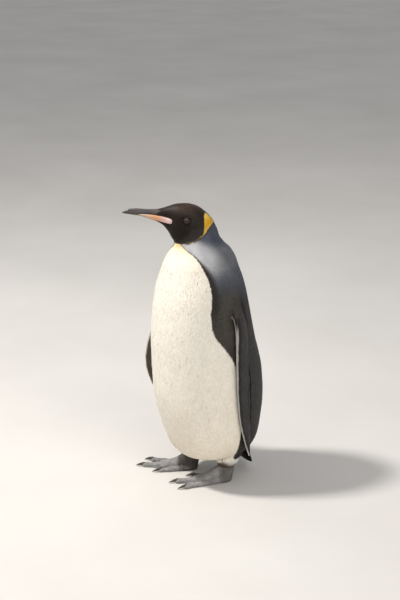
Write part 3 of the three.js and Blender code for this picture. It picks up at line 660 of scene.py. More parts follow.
def marking(P, reg, jitter=0.0):
    """Plumage colour at the base and at the tip of a feather whose showing part lies at P."""
    n = len(P)
    base, tip = plain(n, "white"), plain(n, "white")
    lx, ly = body_local(P)
    phi = np.degrees(np.arctan2(np.abs(lx), -ly)) + jitter * 1.0
    z = P[:, 2] + ripple(P, 9.0, 3) * 1.2
    f, l = P @ HF + jitter * 0.6, np.abs(P @ HL)
    wave = ripple(P, 16.0, 5)

    # trunk and neck
    # cream over the white: a base tone with random waves, plus painted warm bounce light that grows toward the lower
    # belly (the terms below z 420 and z 200)
    white = mix(plain(n, "white"), plain(n, "cream"), 0.36 + 0.07 * wave + 0.10 * step(P[:, 2], 520, 660) + 0.24 * step(P[:, 2], 420, 200) + 0.25 * step(P[:, 2], 200, 90))
    white *= (1 - 0.05 * step(P[:, 2], 540, 640))[:, None]
    below = np.maximum(686 - P[:, 2] + (44 - phi) * 0.04, 0)
    white = mix(white, plain(n, "peach"), np.exp(-(below / 30.0) ** 1.3) * 0.45)
    white = mix(white, plain(n, "gold"), np.exp(-(below / 12.0) ** 1.5) * 0.85 * (0.55 + 0.45 * step(phi, 5, 30)))
    edge = border(z)
    over = phi - edge
    grey = mix(plain(n, "back"), plain(n, "slate"), step(P[:, 2], 520, 620))
    # silver-grey shoulder plumage with painted sunlight: the bright silver patch keeps to the lit front of the
    # shoulder, between about z 600 and 650, and fades toward the back
    front = 1 - 0.85 * step(phi + 6 * ripple(P, 22.0, 29), 86, 134)
    grey = mix(grey, plain(n, "silver_sunlit"), step(P[:, 2] + 8 * ripple(P, 18.0, 27), 596, 652) * front)
    gtip = mix(plain(n, "tip"), plain(n, "silver_sunlit") * 1.1, step(P[:, 2] + 8 * ripple(P, 18.0, 27), 566, 648) * front)
    # painted shadow of the head over the nape: above about z 690 the plumage is darkened to a blue-grey shade
    nape_shadow = step(P[:, 2] - 0.22 * (P @ HF), 684, 706)
    grey, gtip = mix(grey, plain(n, "nape_shadow"), nape_shadow), mix(gtip, plain(n, "nape_shadow") * 1.15, nape_shadow)
    gtip = mix(gtip, plain(n, "back"), 0.35 * step(P[:, 2], 200, 80) + 0.2 * wave * 0.5)
    grey *= (1 + 0.22 * wave)[:, None]
    gtip *= (1 + 0.18 * ripple(P, 30.0, 8))[:, None]
    gtip = mix(gtip, plain(n, "warm"), 0.6 * (1 - step(P[:, 2], 470, 600)))
    bnd = 1 - step(over + 1.5 * wave, band(z) * 0.45, band(z) * 1.7)
    fade = 1 - 0.6 * (1 - step(P[:, 2], 450, 560))
    grey, gtip = mix(grey, plain(n, "brown"), bnd), mix(gtip, plain(n, "brown") * 1.5, bnd * fade)
    olive = (1 - bnd * fade) * (1 - step(P[:, 2], 540, 600)) * (1 - step(phi, 112, 130)) * step(P[:, 2], 330, 400)
    gtip, grey = mix(gtip, plain(n, "olive"), olive * 0.9), mix(grey, plain(n, "olive"), olive * 0.45)
    dark = over > 0
    base = np.where(dark[:, None], grey, white)
    tip = np.where(dark[:, None], gtip, white * 1.0)

    # hood, ear patch and the line behind it, over head and neck alike
    up = (P[:, 2] > 676)
    hb, hl_, pb = hood_back(P[:, 2]), hood_low(f), patch_back(P[:, 2])
    hood = up & (f > hb) & (P[:, 2] > hl_)
    hood |= up & (P[:, 2] > 752) & (l < 4.0 + 3.0 * step(P[:, 2], 754, 768)) & (f > -24)
    patch = up & ~hood & (f > pb) & (P[:, 2] > 689) & ((l > 3.6) | (P[:, 2] < 700)) & ((l > 3.6 + 3.0 * step(P[:, 2], 754, 768)) | (P[:, 2] < 752)) & (f < 40) & (P[:, 2] > 690 - f * 0.1)
    patch &= (P[:, 2] < 772)
    deep = np.clip(np.minimum((f - pb) / 9.0, (hb - f) / 6.0 + 0.4), 0, 1) * (1 - step(P[:, 2], 742, 764))
    ycol = mix(plain(n, "pale"), plain(n, "yellow"), 0.25 + 0.85 * deep)
    ycol = mix(ycol, plain(n, "brown"), 0.90 * (1 - step(P[:, 2], 704, 722)))
    line = up & ~hood & ~patch & (f > pb - 4.2) & (P[:, 2] > 686) & (P[:, 2] < 752) & (f < 16)
    hcol = plain(n, "hood") * ((1 + 0.3 * wave) * (0.6 + 0.4 * step(P[:, 2], 700, 744)))[:, None]
    # crown feather tips lighter: painted sheen of light from above on the top of the head
    crown_sheen = step(P[:, 2], 762, 786)
    htip = mix(hcol, plain(n, "hood") * 4.3 + 0.006, crown_sheen * 0.9)
    base[hood], tip[hood] = hcol[hood], htip[hood]
    base[patch], tip[patch] = ycol[patch], ycol[patch] * 1.04
    base[line], tip[line] = C["line"], C["line"] * 1.3

    # flippers
    for side, tag in ((1, FLIP_L), (-1, FLIP_R)):
        m = reg == tag
        if not m.any():
            continue
        s, x, y, half, th = flipper_local(P[m], side)
        k = m.sum()
        wv = ripple(P[m], 7.0, 11)
        lead_mm = (1 - x) * half                    # distance behind the leading edge
        trail_mm = (1 + x) * half
        outer = np.where(y >= -0.12, 1.0, 0.0)
        ob, ot = plain(k, "flip") * (1 + 0.2 * wv)[:, None], plain(k, "fliptip") * (1 + 0.2 * wv)[:, None]
        root_ = 1 - step(s, 40, 130)
        ob, ot = mix(ob, plain(k, "back") * 1.3, root_ * 0.8), mix(ot, plain(k, "olive"), root_ * 0.6)
        # far flipper only: its outer face is lighter warm brown than the near flipper's, painted sunlight on the far
        # flipper
        if side < 0:
            ob, ot = mix(ob, plain(k, "warm") * 0.8, step(s, 60, 160) * 0.5), mix(ot, plain(k, "warm") * 1.15, step(s, 60, 160) * 0.7)
        nearlead = (1 - step(lead_mm + wv * 0.5, 7.5, 14.0)) * (1.0 if side > 0 else 0.15)
        ob, ot = mix(ob, plain(k, "black"), nearlead), mix(ot, plain(k, "black") * 1.6, nearlead)
        pale = (1 - step(lead_mm + wv * 0.6, 1.8, 3.3)) * step(s, 48, 88)
        ob, ot = mix(ob, plain(k, "white") * 0.60, pale), mix(ot, plain(k, "white") * 0.64, pale)
        thin = (1 - step(trail_mm, 0.8, 2.0)) * step(s, 90, 140) * 0.8
        tipw = (1 - step(np.minimum(lead_mm, trail_mm), 1.2, 2.6)) * step(s, 405, 432)
        thin = np.maximum(thin, tipw)
        ob, ot = mix(ob, plain(k, "under") * 0.8, thin), mix(ot, plain(k, "under") * 0.85, thin)
        ub = plain(k, "under") * (1 + 0.08 * wv)[:, None]
        dk = np.maximum((1 - step(lead_mm + 1.5 * wv, 15, 23)) * (1 - pale) * step(s, 40, 90), step(s + 5 * wv, 396, 414) * (1 - tipw))
        ub = mix(ub, plain(k, "black") * 1.4 if side > 0 else plain(k, "warm"), dk)
        base[m] = np.where(outer[:, None] > 0, ob, ub)
        tip[m] = np.where(outer[:, None] > 0, ot, ub * 1.03)

    m = reg == TAIL_R
    base[m], tip[m] = C["back"] * 0.8, C["back"] * 1.25
    m = (reg == SHANK_R)
    k = np.where(P[:, 0] > 8, step(P[:, 2] + 3 * wave + 0.25 * (P[:, 1] - 40), 54, 74), step(P[:, 2] + 3 * wave, 62, 96))
    sh = mix(plain(n, "shank") * 0.55, plain(n, "white") * 0.8, k)
    base[m], tip[m] = sh[m], sh[m] * 1.05
    m = reg == FOOT_R
    base[m], tip[m] = C["foot"], C["foot"]
    return np.clip(base, 0.002, 0.95), np.clip(tip, 0.002, 0.95)


def float_color(me, name, rgb):
    a = me.color_attributes.new(name, "FLOAT_COLOR", "POINT")
    a.data.foreach_set("color", np.hstack([rgb, np.ones((len(rgb), 1))]).astype(np.float32).ravel())


def point_vector(me, name, v):
    a = me.attributes.new(name, "FLOAT_VECTOR", "POINT")
    a.data.foreach_set("vector", np.asarray(v, np.float32).ravel())


def vertex_normals(me):
    v = np.zeros(len(me.vertices) * 3, np.float32)
    me.vertex_normals.foreach_get("vector", v)
    return v.reshape(-1, 3).astype(float)


# ------------------------------------------------------------------ places for feathers
def scatter(V, T, normals, gap, seed):
    """Evenly spaced places over triangles, with the surface's smooth normal there."""
    ob = build("field", V, tris=T)
    point_vector(ob.data, "vn", normals)
    g = bpy.data.node_groups.new("scatter", "GeometryNodeTree")
    g.interface.new_socket("Geometry", in_out="INPUT", socket_type="NodeSocketGeometry")
    g.interface.new_socket("Geometry", in_out="OUTPUT", socket_type="NodeSocketGeometry")
    gi, go = g.nodes.new("NodeGroupInput"), g.nodes.new("NodeGroupOutput")
    dp = g.nodes.new("GeometryNodeDistributePointsOnFaces")
    dp.distribute_method = "POISSON"
    pv = g.nodes.new("GeometryNodePointsToVertices")
    dp.inputs["Distance Min"].default_value = gap / 1000.0
    dp.inputs["Density Max"].default_value = 3.2 / (gap / 1000.0) ** 2
    dp.inputs["Seed"].default_value = seed
    g.links.new(gi.outputs[0], dp.inputs["Mesh"])
    g.links.new(dp.outputs["Points"], pv.inputs[0])
    g.links.new(pv.outputs[0], go.inputs[0])
    mod = ob.modifiers.new("scatter", "NODES")
    mod.node_group = g
    apply_modifiers(ob)
    me = ob.data
    P = coords(me)
    v = np.zeros(len(P) * 3, np.float32)
    me.attributes["vn"].data.foreach_get("vector", v)
    drop(ob)
    bpy.data.node_groups.remove(g)
    return P, unit(v.reshape(-1, 3).astype(float))


skin.data.calc_loop_triangles()
TRI = np.zeros(len(skin.data.loop_triangles) * 3, np.int32)
skin.data.loop_triangles.foreach_get("vertices", TRI)
TRI = TRI.reshape(-1, 3)
SP, SN = coords(skin.data), vertex_normals(skin.data)
SREG = region_of(SP)
TC = SP[TRI].mean(1)
TREG = region_of(TC)
bm = bmesh.new()
bm.from_mesh(skin.data)
SKIN_TREE = BVHTree.FromBMesh(bm)
bm.free()


def field(mask, gap, seed):
    T = TRI[mask]
    used, inv = np.unique(T, return_inverse=True)
    return scatter(SP[used], inv.reshape(-1, 3), SN[used], gap, seed)


# ------------------------------------------------------------------ the lie of the feathers
def lie(P, N, reg):
    n = len(P)
    D = np.tile(np.array([0.0, 0.06, -1.0]), (n, 1))
    under = step(-N[:, 2], 0.25, 0.95)
    D[:, 1] += 1.3 * under
    D += (np.array([0, 0.25, 0.0]) * step(P[:, 2], 560, 700)[:, None])
    h = (reg == HEAD_R) | ((P[:, 2] > 705) & (reg == BODY_R))
    back = -HF[None, :] * 1.0 - UP[None, :] * (0.42 + 0.5 * step(-(P @ HF), -30, 20))[:, None]
    blendh = step(P[:, 2], 690, 712)
    D = np.where(h[:, None], back, D * (1 - blendh[:, None]) + back * blendh[:, None] * 1.0)
    # round the eye the feathers part
    f, z = P @ HF, P[:, 2]
    p, q = lid_place(f, z)
    r = np.hypot(p, q)
    k = np.where(h & (np.abs(P @ HL) > 12), np.exp(-(r / 15.0) ** 2), 0)
    D += (HF[None, :] * (p / np.maximum(r, 1))[:, None] * 0.5 + UP[None, :] * (q / np.maximum(r, 1))[:, None] * 0.8) * k[:, None]
    for side, tag in ((1, FLIP_L), (-1, FLIP_R)):
        m = reg == tag
        down, b, out, root = flipper_frame(side)
        D[m] = down - b * 0.28
    m = reg == TAIL_R
    D[m] = np.array([0, 0.25, -1.0])
    m = reg == SHANK_R
    D[m] = np.array([0, -0.1, -1.0])
    D = D - N * np.sum(D * N, 1, keepdims=True)
    return unit(D)


def turn(D, N, a):
    """Directions turned by angle a about their normals."""
    return D * np.cos(a)[:, None] + np.cross(N, D) * np.sin(a)[:, None]


# ------------------------------------------------------------------ vanes
def vane_mesh(name, P0, N0, D, L, W, H, chart, colours, stations, lift=0.0, ridge=0.020, camber=0.015, uv_size=0.003, follow=True):
    """Closed feather vanes as one mesh. Each runs from its root along the skin and rises to the coat's depth."""
    n, K = len(P0), len(stations)
    guess = P0 + D * L[:, None]
    if follow:
        E, N1, dist = nearest(SKIN_TREE, guess)
        bad = (dist > L * 0.6) | (np.sum(N1 * N0, 1) < 0.3)
        E[bad], N1[bad] = guess[bad], N0[bad]
    else:
        E, N1 = guess, N0.copy()
    D1 = unit(D - N1 * np.sum(D * N1, 1, keepdims=True))
    m = 3 * K + 2
    X = np.zeros((n, m, 3))
    NN = np.zeros((n, m, 3))
    loc = np.zeros((m, 2))
    rise = lambda t: -0.05 + 0.93 * (1 - (1 - min(t / 0.55, 1.0)) ** 2) + 0.12 * t

    def line(t):
        t2, t3 = t * t, t * t * t
        c = (2 * t3 - 3 * t2 + 1) * P0 + (t3 - 2 * t2 + t) * (L[:, None] * D) + (-2 * t3 + 3 * t2) * E + (t3 - t2) * (L[:, None] * D1)
        nn = unit(N0 * (1 - t) + N1 * t)
        h = H * rise(t) + lift * t * t
        return c + nn * h[:, None], nn
    X[:, 0], NN[:, 0] = line(0.0)
    loc[0] = (0, 0)
    mixf = [0.0]
    for k, (t, wd) in enumerate(stations):
        c, nn = line(t)
        c2, _ = line(min(t + 0.06, 1.0))
        T = unit(c2 - c)
        S = unit(np.cross(T, nn))
        U = np.cross(S, T)
        hw = (W * wd / 2)[:, None]
        X[:, 1 + 3 * k] = c - S * hw - U * hw * camber * 2
        X[:, 2 + 3 * k] = c + U * hw * ridge * 2
        X[:, 3 + 3 * k] = c + S * hw - U * hw * camber * 2
        NN[:, 1 + 3 * k] = nn * 0.8 + U * 0.2 - S * 0.16
        NN[:, 2 + 3 * k] = nn * 0.8 + U * 0.2
        NN[:, 3 + 3 * k] = nn * 0.8 + U * 0.2 + S * 0.16
        loc[1 + 3 * k], loc[2 + 3 * k], loc[3 + 3 * k] = (-wd, t), (0, t), (wd, t)
        mixf += [t, t * 0.92, t]
    X[:, m - 1], nn = line(1.0)
    NN[:, m - 1] = nn + D1 * 0.1
    loc[m - 1] = (0, 1)
    mixf.append(1.0)
    col = colours(np.array(mixf), loc)
    # faces of one vane
    q, tr, qb, tb = [], [], [], []
    tr += [[0, 2, 1], [0, 3, 2]]
    tb += [[0, 1, 3]]
    for k in range(K - 1):
        a, b = 1 + 3 * k, 4 + 3 * k
        q += [[a, a + 1, b + 1, b], [a + 1, a + 2, b + 2, b + 1]]
        qb += [[a, b, b + 2, a + 2]]
    a = 1 + 3 * (K - 1)
    tr += [[a, a + 1, m - 1], [a + 1, a + 2, m - 1]]
    tb += [[a, m - 1, a + 2]]
    nq_top = len(q)
    nt_top = len(tr)
    q, tr = np.array(q + qb), np.array(tr + tb)
    off = (np.arange(n) * m)[:, None, None]
    Q, T3 = (q[None] + off).reshape(-1, 4), (tr[None] + off).reshape(-1, 3)
    ob = build(name, X.reshape(-1, 3), Q, T3)
    me = ob.data
    float_color(me, "col", col.reshape(-1, 3))
    rnd = RNG.random(n)
    bar = np.zeros((n, m, 3))
    bar[:, :, 0] = loc[:, 0] * (W[:, None] / 2)
    bar[:, :, 1] = loc[:, 1] * L[:, None]
    bar[:, :, 2] = rnd[:, None]
    point_vector(me, "vane", bar.reshape(-1, 3))
    # edges of the vane stay crisp, its back is rounded
    E_ = edges_of(me) % m
    kind = np.zeros(m, int)
    kind[1:m - 1:3], kind[3:m - 1:3] = 1, 2
    kind[0] = kind[m - 1] = 3
    a, b = kind[E_[:, 0]], kind[E_[:, 1]]
    sharp = ((a == b) & (a > 0)) | ((a == 3) & (b > 0)) | ((b == 3) & (a > 0))
    at = me.attributes.new("sharp_edge", "BOOLEAN", "EDGE")
    at.data.foreach_set("value", sharp)
    me.normals_split_custom_set_from_vertices(unit(NN.reshape(-1, 3)).tolist())
    # bake map: each vane is a small patch at its root's place on the skin's own unwrap
    uv = me.uv_layers.new(name="OFBake", do_init=False)
    k = uv_size * 0.5
    lo, hi = chart.min(0), chart.max(0)
    cc = 0.006 + 0.988 * (chart - lo) / np.maximum(hi - lo, 1e-9)
    top = np.stack([(loc[:, 0] - 1.05) * 0.5 * k, (loc[:, 1] - 0.5) * 2 * k], 1)
    bot = np.stack([(loc[:, 0] + 1.05) * 0.5 * k, (loc[:, 1] - 0.5) * 2 * k], 1)
    uq = np.concatenate([top[q[:nq_top]], bot[q[nq_top:]]])
    ut = np.concatenate([top[tr[:nt_top]], bot[tr[nt_top:]]])
    UQ = (cc[:, None, None, :] + uq[None]).reshape(-1, 2)
    UT = (cc[:, None, None, :] + ut[None]).reshape(-1, 2)
    uv.data.foreach_set("uv", np.concatenate([UQ, UT]).astype(np.float32).ravel())
    return ob


WIDE = [(0.34, 0.9), (0.68, 1.0), (0.88, 0.72)]
FINE = [(0.45, 1.0), (0.80, 0.80)]
COAT = []


def blocked(P):
    return in_flipper(P, 1, 0.6, 34.0) | in_flipper(P, -1, 0.6, 34.0)


def plumage(name, P, N, reg, L, W, H, chart, stations, spread=0.08, lift=None, spots=False):
    n = len(P)
    D = turn(lie(P, N, reg), N, RNG.normal(0, spread, n))
    L = L * RNG.uniform(0.86, 1.14, n)
    W = W * RNG.uniform(0.9, 1.1, n)
    H = H * RNG.uniform(0.986, 1.014, n)
    jit = RNG.normal(0, 0.25, n)
    shade = RNG.normal(1.0, 0.035, n)[:, None]
    S = unit(np.cross(D, N))

    def colours(ts, loc):
        out = np.zeros((n, len(ts), 3))
        for j, t in enumerate(ts):
            at = P + D * (L * max(t, 0.3))[:, None] + S * (W * 0.5 * loc[j, 0])[:, None] + N * 2.0
            base, tip = marking(at, reg, jitter=jit)
            a = float(step(t, 0.62, 1.0))
            w_ = a * (1 - 0.75 * abs(loc[j, 0])) if spots else a
            out[:, j] = (base * (1 - w_) + tip * w_) * shade
        return np.clip(out, 0.001, 0.95)
    lift = RNG.normal(0, 0.0028, n) * L if lift is None else lift
    ob = vane_mesh(name, P, N, D, L, W, H, chart, colours, stations, lift=lift)
    COAT.append(ob)
    return ob


# ------------------------------------------------------------------ plumage, region by region
def body_angle(P):
    lx, ly = body_local(P)
    return np.degrees(np.arctan2(lx, -ly))


neck_low, neck_top = 640.0, 700.0
trunk_mask = (TREG == BODY_R) & (TC[:, 2] < neck_low + 4)
neck_mask = (TREG == BODY_R) & (TC[:, 2] >= neck_low - 5)
head_mask = TREG == HEAD_R

P, N = field(trunk_mask, 2.75, 1)
keep = ~blocked(P + N * 1.5) & ~blocked(P + N * 5 + lie(P, N, np.full(len(P), BODY_R)) * 9)
P, N = P[keep], N[keep]
ang = body_angle(P)
size = 0.80 + 0.20 * step(P[:, 2], 640, 560) - 0.34 * step(P[:, 2], 118, 64)
back = step(np.abs(ang), 75, 100)
# shorter, flatter feathers where the flippers begin
sleeve = np.zeros(len(P))
for side in (1, -1):
    s_, x_, y_, half_, th_ = flipper_local(P, side)
    near = np.exp(-(np.maximum(np.abs(x_) - 1.0, 0) * half_ / 9.0) ** 2) * np.exp(-(np.maximum(np.abs(y_) - 1.0, 0) * th_ / 9.0) ** 2)
    sleeve = np.maximum(sleeve, near * step(s_, -34, 22) * (s_ < 60))
size = size * (1 - 0.42 * sleeve)
for tag, lo, hi in (("front_L", 0, 86), ("side_L", 86, 181), ("front_R", -86, 0), ("side_R", -181, -86)):
    m = (ang >= lo) & (ang < hi)
    k = m.sum()
    plumage("plumage_trunk_" + tag, P[m], N[m], np.full(k, BODY_R), 17.0 * size[m], (4.9 + 0.5 * back[m]) * size[m], 5.4 * size[m] ** 1.3 * (1 - 0.5 * sleeve[m]),
            np.stack([ang[m], P[m][:, 2]], 1), WIDE, spots=True)
    print(tag, k)

P, N = field(neck_mask, 2.0, 2)
ang = body_angle(P)
size = 1.0 - 0.42 * step(P[:, 2], 640, 715)
plumage("plumage_neck", P, N, np.full(len(P), BODY_R), 11.5 * size, 4.2 * size, 4.2 * size ** 1.2, np.stack([ang, P[:, 2]], 1), WIDE)
print("neck", len(P))

P, N = field(head_mask, 1.25, 3)
f, l, z = P @ HF, P @ HL, P[:, 2]
r = near_eye(P)
pp, qq = lid_place(f, z)
lidzone = ((pp / (LID_A + 2.6)) ** 2 + (qq / (LID_B + 3.4)) ** 2 < 1) & (np.abs(l) > 12)
near_plate = (np.abs(l) > 8) & (f > 70) & (z > 737) & (z < 761 - 0.0 * f) & (np.abs(z - (756 + (f - 90) * 0.12)) < 7) & (f > 74)
keep = ~lidzone & (f < FEATHER_LINE - 2.5)
P, N, f, r = P[keep], N[keep], f[keep], r[keep]
size = 1.0 - 0.48 * step(f, 40, 104)
size *= 0.55 + 0.45 * step(r, 9, 19)
L = 8.6 * size
plumage("plumage_head", P, N, np.full(len(P), HEAD_R), L, 1.95 * size ** 0.6, 2.2 * size ** 1.2,
        np.stack([np.degrees(np.arctan2(P @ HL, P[:, 2] - 740)), P @ HF], 1), FINE, spread=0.12)
print("head", len(P))

for side, tag, name in ((1, FLIP_L, "L"), (-1, FLIP_R, "R")):
    P, N = field(TREG == tag, 1.75, 4 + tag)
    s, x, y, half, th = flipper_local(P, side)
    rr = np.full(len(P), tag)
    edge = 1 - 0.35 * step(np.abs(x), 0.7, 1.0)
    size = (0.85 + 0.35 * step(-s, -160, -20)) * edge
    plumage("plumage_flipper_" + name, P, N, rr, 4.8 * size, 2.7 * size, 0.95 * size,
            np.stack([np.degrees(np.arctan2(y, x)), s], 1), FINE, spread=0.07, lift=RNG.normal(0, 0.02, len(P)))
    print("flipper", name, len(P))

P, N = field(TREG == SHANK_R, 1.7, 9)
keep = P[:, 2] > 47
P, N = P[keep], N[keep]
size = 0.55 + 0.45 * step(P[:, 2], 48, 72)
side_x = np.where(P[:, 0] > 8, 1.0, 0.0)
cx = np.where(P[:, 0] > 8, 57.0, -53.0)
cy = np.where(P[:, 0] > 8, 55.0, 6.0)
plumage("plumage_shanks", P, N, np.full(len(P), SHANK_R), 9.5 * size, 3.0 * size, 3.2 * size ** 1.5,
        np.stack([np.degrees(np.arctan2(P[:, 1] - cy, P[:, 0] - cx)) + side_x * 380, P[:, 2]], 1), WIDE)
print("shanks", len(P))


# ------------------------------------------------------------------ tail: stiff narrow feathers in a shallow fan, in layers
def long_feather(V, Q, T, root, tip_, out, width, thick, sweep, nseg=16):
    """Closed lens-shaped feather with a raised shaft from root to tip."""
    base = len(V)
    axis = tip_ - root
    side = unit(np.cross(axis, out))
    up_ = unit(np.cross(side, axis))
    prof = [(-1.0, 0.0), (-0.5, 0.55), (-0.12, 0.75), (0.0, 1.35), (0.12, 0.75), (0.5, 0.55), (1.0, 0.0), (0.45, -0.5), (0.0, -0.9), (-0.45, -0.5)]
    rows = []
    for k in range(nseg + 1):
        t = k / nseg
        w_ = width / 2 * (0.35 + 0.65 * min(t / 0.25, 1)) * (1 - max(t - 0.62, 0) / 0.38 * 0.55) * (sqrt(max(1 - ((t - 0.9) / 0.1) ** 2, 0.0)) * 0.9 + 0.1 if t > 0.9 else 1.0)
        th = thick / 2 * (1 - 0.6 * t)
        c = root + axis * t + up_ * sweep * sin(pi * t)
        rows.append([c + side * a * w_ + up_ * b * th for a, b in prof])
    m = len(prof)
    for row in rows:
        V += [list(p) for p in row]
    for k in range(nseg):
        for j in range(m):
            a, b = base + k * m + j, base + k * m + (j + 1) % m
            Q.append([a, b, b + m, a + m])
    V += [list(np.mean(rows[0], 0)), list(np.mean(rows[-1], 0))]
    for j in range(m):
        T.append([base + (nseg + 1) * m, base + (j + 1) % m, base + j])
        T.append([base + (nseg + 1) * m + 1, base + nseg * m + j, base + nseg * m + (j + 1) % m])


def tail_feathers():
    V, Q, T, cuts = [], [], [], []
    r = np.random.default_rng(31)
    rows = [(12, 124, 15.3, 0.94), (12, 121, 15.5, 0.64), (12, 117, 16.0, 0.34), (11, 113, 16.8, 0.04), (11, 109, 18.2, -0.26), (10, 104, 20.5, -0.56), (9, 98, 24.0, -0.86)]
    for layer, (count, top, bottom, depth) in enumerate(rows):
        for i in range(count):
            k = ((i + 0.25 * (-1) ** layer) / (count - 1) - 0.5) * 2
            k = max(-1.0, min(1.0, k))
            zt = max(bottom + 3.0 * abs(k) ** 2.0 + r.uniform(-0.5, 0.9), 15.2)
            arc = sqrt(max(1 - (0.86 * k) ** 2, 0.2))
            x0, x1 = k * float(tW(top)) * 0.74, k * (float(tW(zt)) - 2.8)
            y0 = float(tC(top)) + depth * float(tD(top)) * 0.62 * arc
            y1 = float(tC(zt)) + depth * (float(tD(zt)) - 1.2) * arc
            start = len(V)
            out = np.array([0.25 * k, 1.0, 0.2])
            long_feather(V, Q, T, np.array([x0, y0, top]), np.array([x1, y1, zt]), out, 10.5, 2.9, 2.6 * depth * arc)
            cuts.append((start, len(V)))
    ob = outward(build("tail_feathers", np.array(V), Q, T))
    return ob, cuts


tail_ob, tail_cuts = tail_feathers()
tp = coords(tail_ob.data)
tcol = np.tile(C["back"] * 0.85, (len(tp), 1)) * (1 + 0.25 * ripple(tp, 5.0, 17))[:, None]
tcol = mix(tcol, np.tile(C["brown"] * 1.6, (len(tp), 1)), 0.5 * (1 - step(tp[:, 2], 16, 60)))
float_color(tail_ob.data, "col", np.clip(tcol, 0.003, 1))
tv = np.zeros((len(tp), 3))
for i, (a, b) in enumerate(tail_cuts):
    c = tp[a:b].mean(0)
    tv[a:b, 0] = tp[a:b, 0] - c[0]
    tv[a:b, 1] = 120 - tp[a:b, 2]
    tv[a:b, 2] = (i * 0.37) % 1
point_vector(tail_ob.data, "vane", tv)


def tail_map(me, cuts, m=10, nseg=16):
    """Bake map: each feather a small patch, laid out by its place across the tail and its layer."""
    start = np.array([a for a, b in cuts])
    place = np.zeros((len(cuts), 2))
    roots = np.array([tp[a:b, 0].mean() for a, b in cuts])
    layer = np.concatenate([np.full(c, i) for i, c in enumerate((12, 12, 12, 11, 11, 10, 9))])
    place[:, 0] = (roots - roots.min()) / np.ptp(roots)
    place[:, 1] = layer / layer.max()
    nl = len(me.loops)
    vi = np.zeros(nl, np.int32)
    me.loops.foreach_get("vertex_index", vi)
    ls, lt = np.zeros(len(me.polygons), np.int32), np.zeros(len(me.polygons), np.int32)
    me.polygons.foreach_get("loop_start", ls)
    me.polygons.foreach_get("loop_total", lt)
    uv = np.zeros((nl, 2))
    fe = np.searchsorted(start, vi, side="right") - 1
    loc = vi - start[fe]
    ring, j = loc // m, (loc % m).astype(float)
    cap = ring > nseg
    v = ring / nseg
    for s_, t_ in zip(ls, lt):
        k = slice(s_, s_ + t_)
        jj, cc, vv = j[k].copy(), cap[k], v[k].copy()
        real = jj[~cc]
        if real.min() == 0 and real.max() == m - 1:
            jj[(jj == 0) & ~cc] = m
        if cc.any():
            jj[cc] = jj[~cc].mean()
            vv[cc] = -0.06 if vv[~cc][0] < 0.5 else 1.06
        uv[k, 0], uv[k, 1] = jj / m - 0.5, vv - 0.5
    c = 0.02 + 0.96 * place[fe]
    layer_uv = me.uv_layers.new(name="OFBake", do_init=False)
    layer_uv.data.foreach_set("uv", (c + uv * 0.003).astype(np.float32).ravel())


tail_map(tail_ob.data, tail_cuts)

# skin carries the same markings
for_skin, _ = marking(SP, SREG)
float_color(skin.data, "col", for_skin * np.where(np.isin(SREG, (FOOT_R,)), 1.0, 0.8)[:, None])


# ------------------------------------------------------------------ feet: scutes over the toes, small scales elsewhere
def foot_relief():
    P, N = coords(skin.data), vertex_normals(skin.data)
    idx = np.where((P[:, 2] < 56) & (SREG == FOOT_R))[0]
    tri = np.isin(TRI, idx).all(1)
    C1, _ = field(tri, 3.5, 40)
    kd = KDTree(len(C1))
    for i, c in enumerate(C1):
        kd.insert(c, i)
    kd.balance()
    h = np.zeros(len(idx))
    for j, i in enumerate(idx):
        a = kd.find_n(P[i], 2)
        h[j] = min((a[1][2] - a[0][2]) / 1.3, 1.0)
    Q = P[idx]
    cell = 0.42 * (1 - (1 - h) ** 2) - 0.21
    scute = np.zeros(len(idx))
    for side in (1, -1):
        f, o, heel = foot_frame(side)
        m = (Q[:, 0] > 8) if side > 0 else (Q[:, 0] <= 8)
        u, w_ = (Q - heel) @ f, (Q - heel) @ o
        for toe in TOES:
            wc = toe["root"][1] + np.tan(radians(toe["angle"])) * (u - toe["root"][0])
            near = np.exp(-((w_ - wc) / 5.2) ** 4) * step(u, 50, 66) * m * step(Q[:, 2], 3.5, 6.0)
            wave = np.abs(np.sin(pi * (u + 0.12 * (w_ - wc) ** 2) / 5.2)) ** 0.55 - 0.6
            cell = cell * (1 - near)
            scute += near * wave * 0.75
    low = step(Q[:, 2], 0.6, 2.0)
    P[idx] += N[idx] * ((cell + scute) * low)[:, None]
    P[idx, 2] = np.maximum(P[idx, 2], 0.0)
    set_coords(skin.data, P)
    g = np.ones(len(P))
    g[idx] = 0.62 + 0.38 * h
    return g


groove = foot_relief()


def attribute_float(me, name, v):
    a = me.attributes.new(name, "FLOAT", "POINT")
    a.data.foreach_set("value", np.asarray(v, np.float32))


attribute_float(skin.data, "groove", groove)
attribute_float(skin.data, "foot", np.where(SREG == FOOT_R, 1.0, 0.0))
def heel_dark_and_shade():
    a = np.zeros(len(SP))
    wave = ripple(SP, 5.0, 23)
    for side in (1, -1):
        f, o, heel = foot_frame(side)
        m = (SP[:, 0] > 8) if side > 0 else (SP[:, 0] <= 8)
        u = (SP - heel) @ f
        reach = 30 + 0.22 * SP[:, 2] if side > 0 else 46 + 0.25 * SP[:, 2]
        # darker towards the heels; the far (right) foot at full strength, against the near foot's 0.62, is painted
        # shade
        a = np.where(m, (0.62 if side > 0 else 1.0) * (1 - step(u + 4 * wave, reach - 10, reach + 10)), a)
    return a * np.where(SREG == FOOT_R, 1.0, 0.0)


attribute_float(skin.data, "heel_dark_and_shade", heel_dark_and_shade())
attribute_float(skin.data, "lid", np.exp(-(np.maximum(near_eye(SP) - 8.5, 0) / 2.0) ** 2))


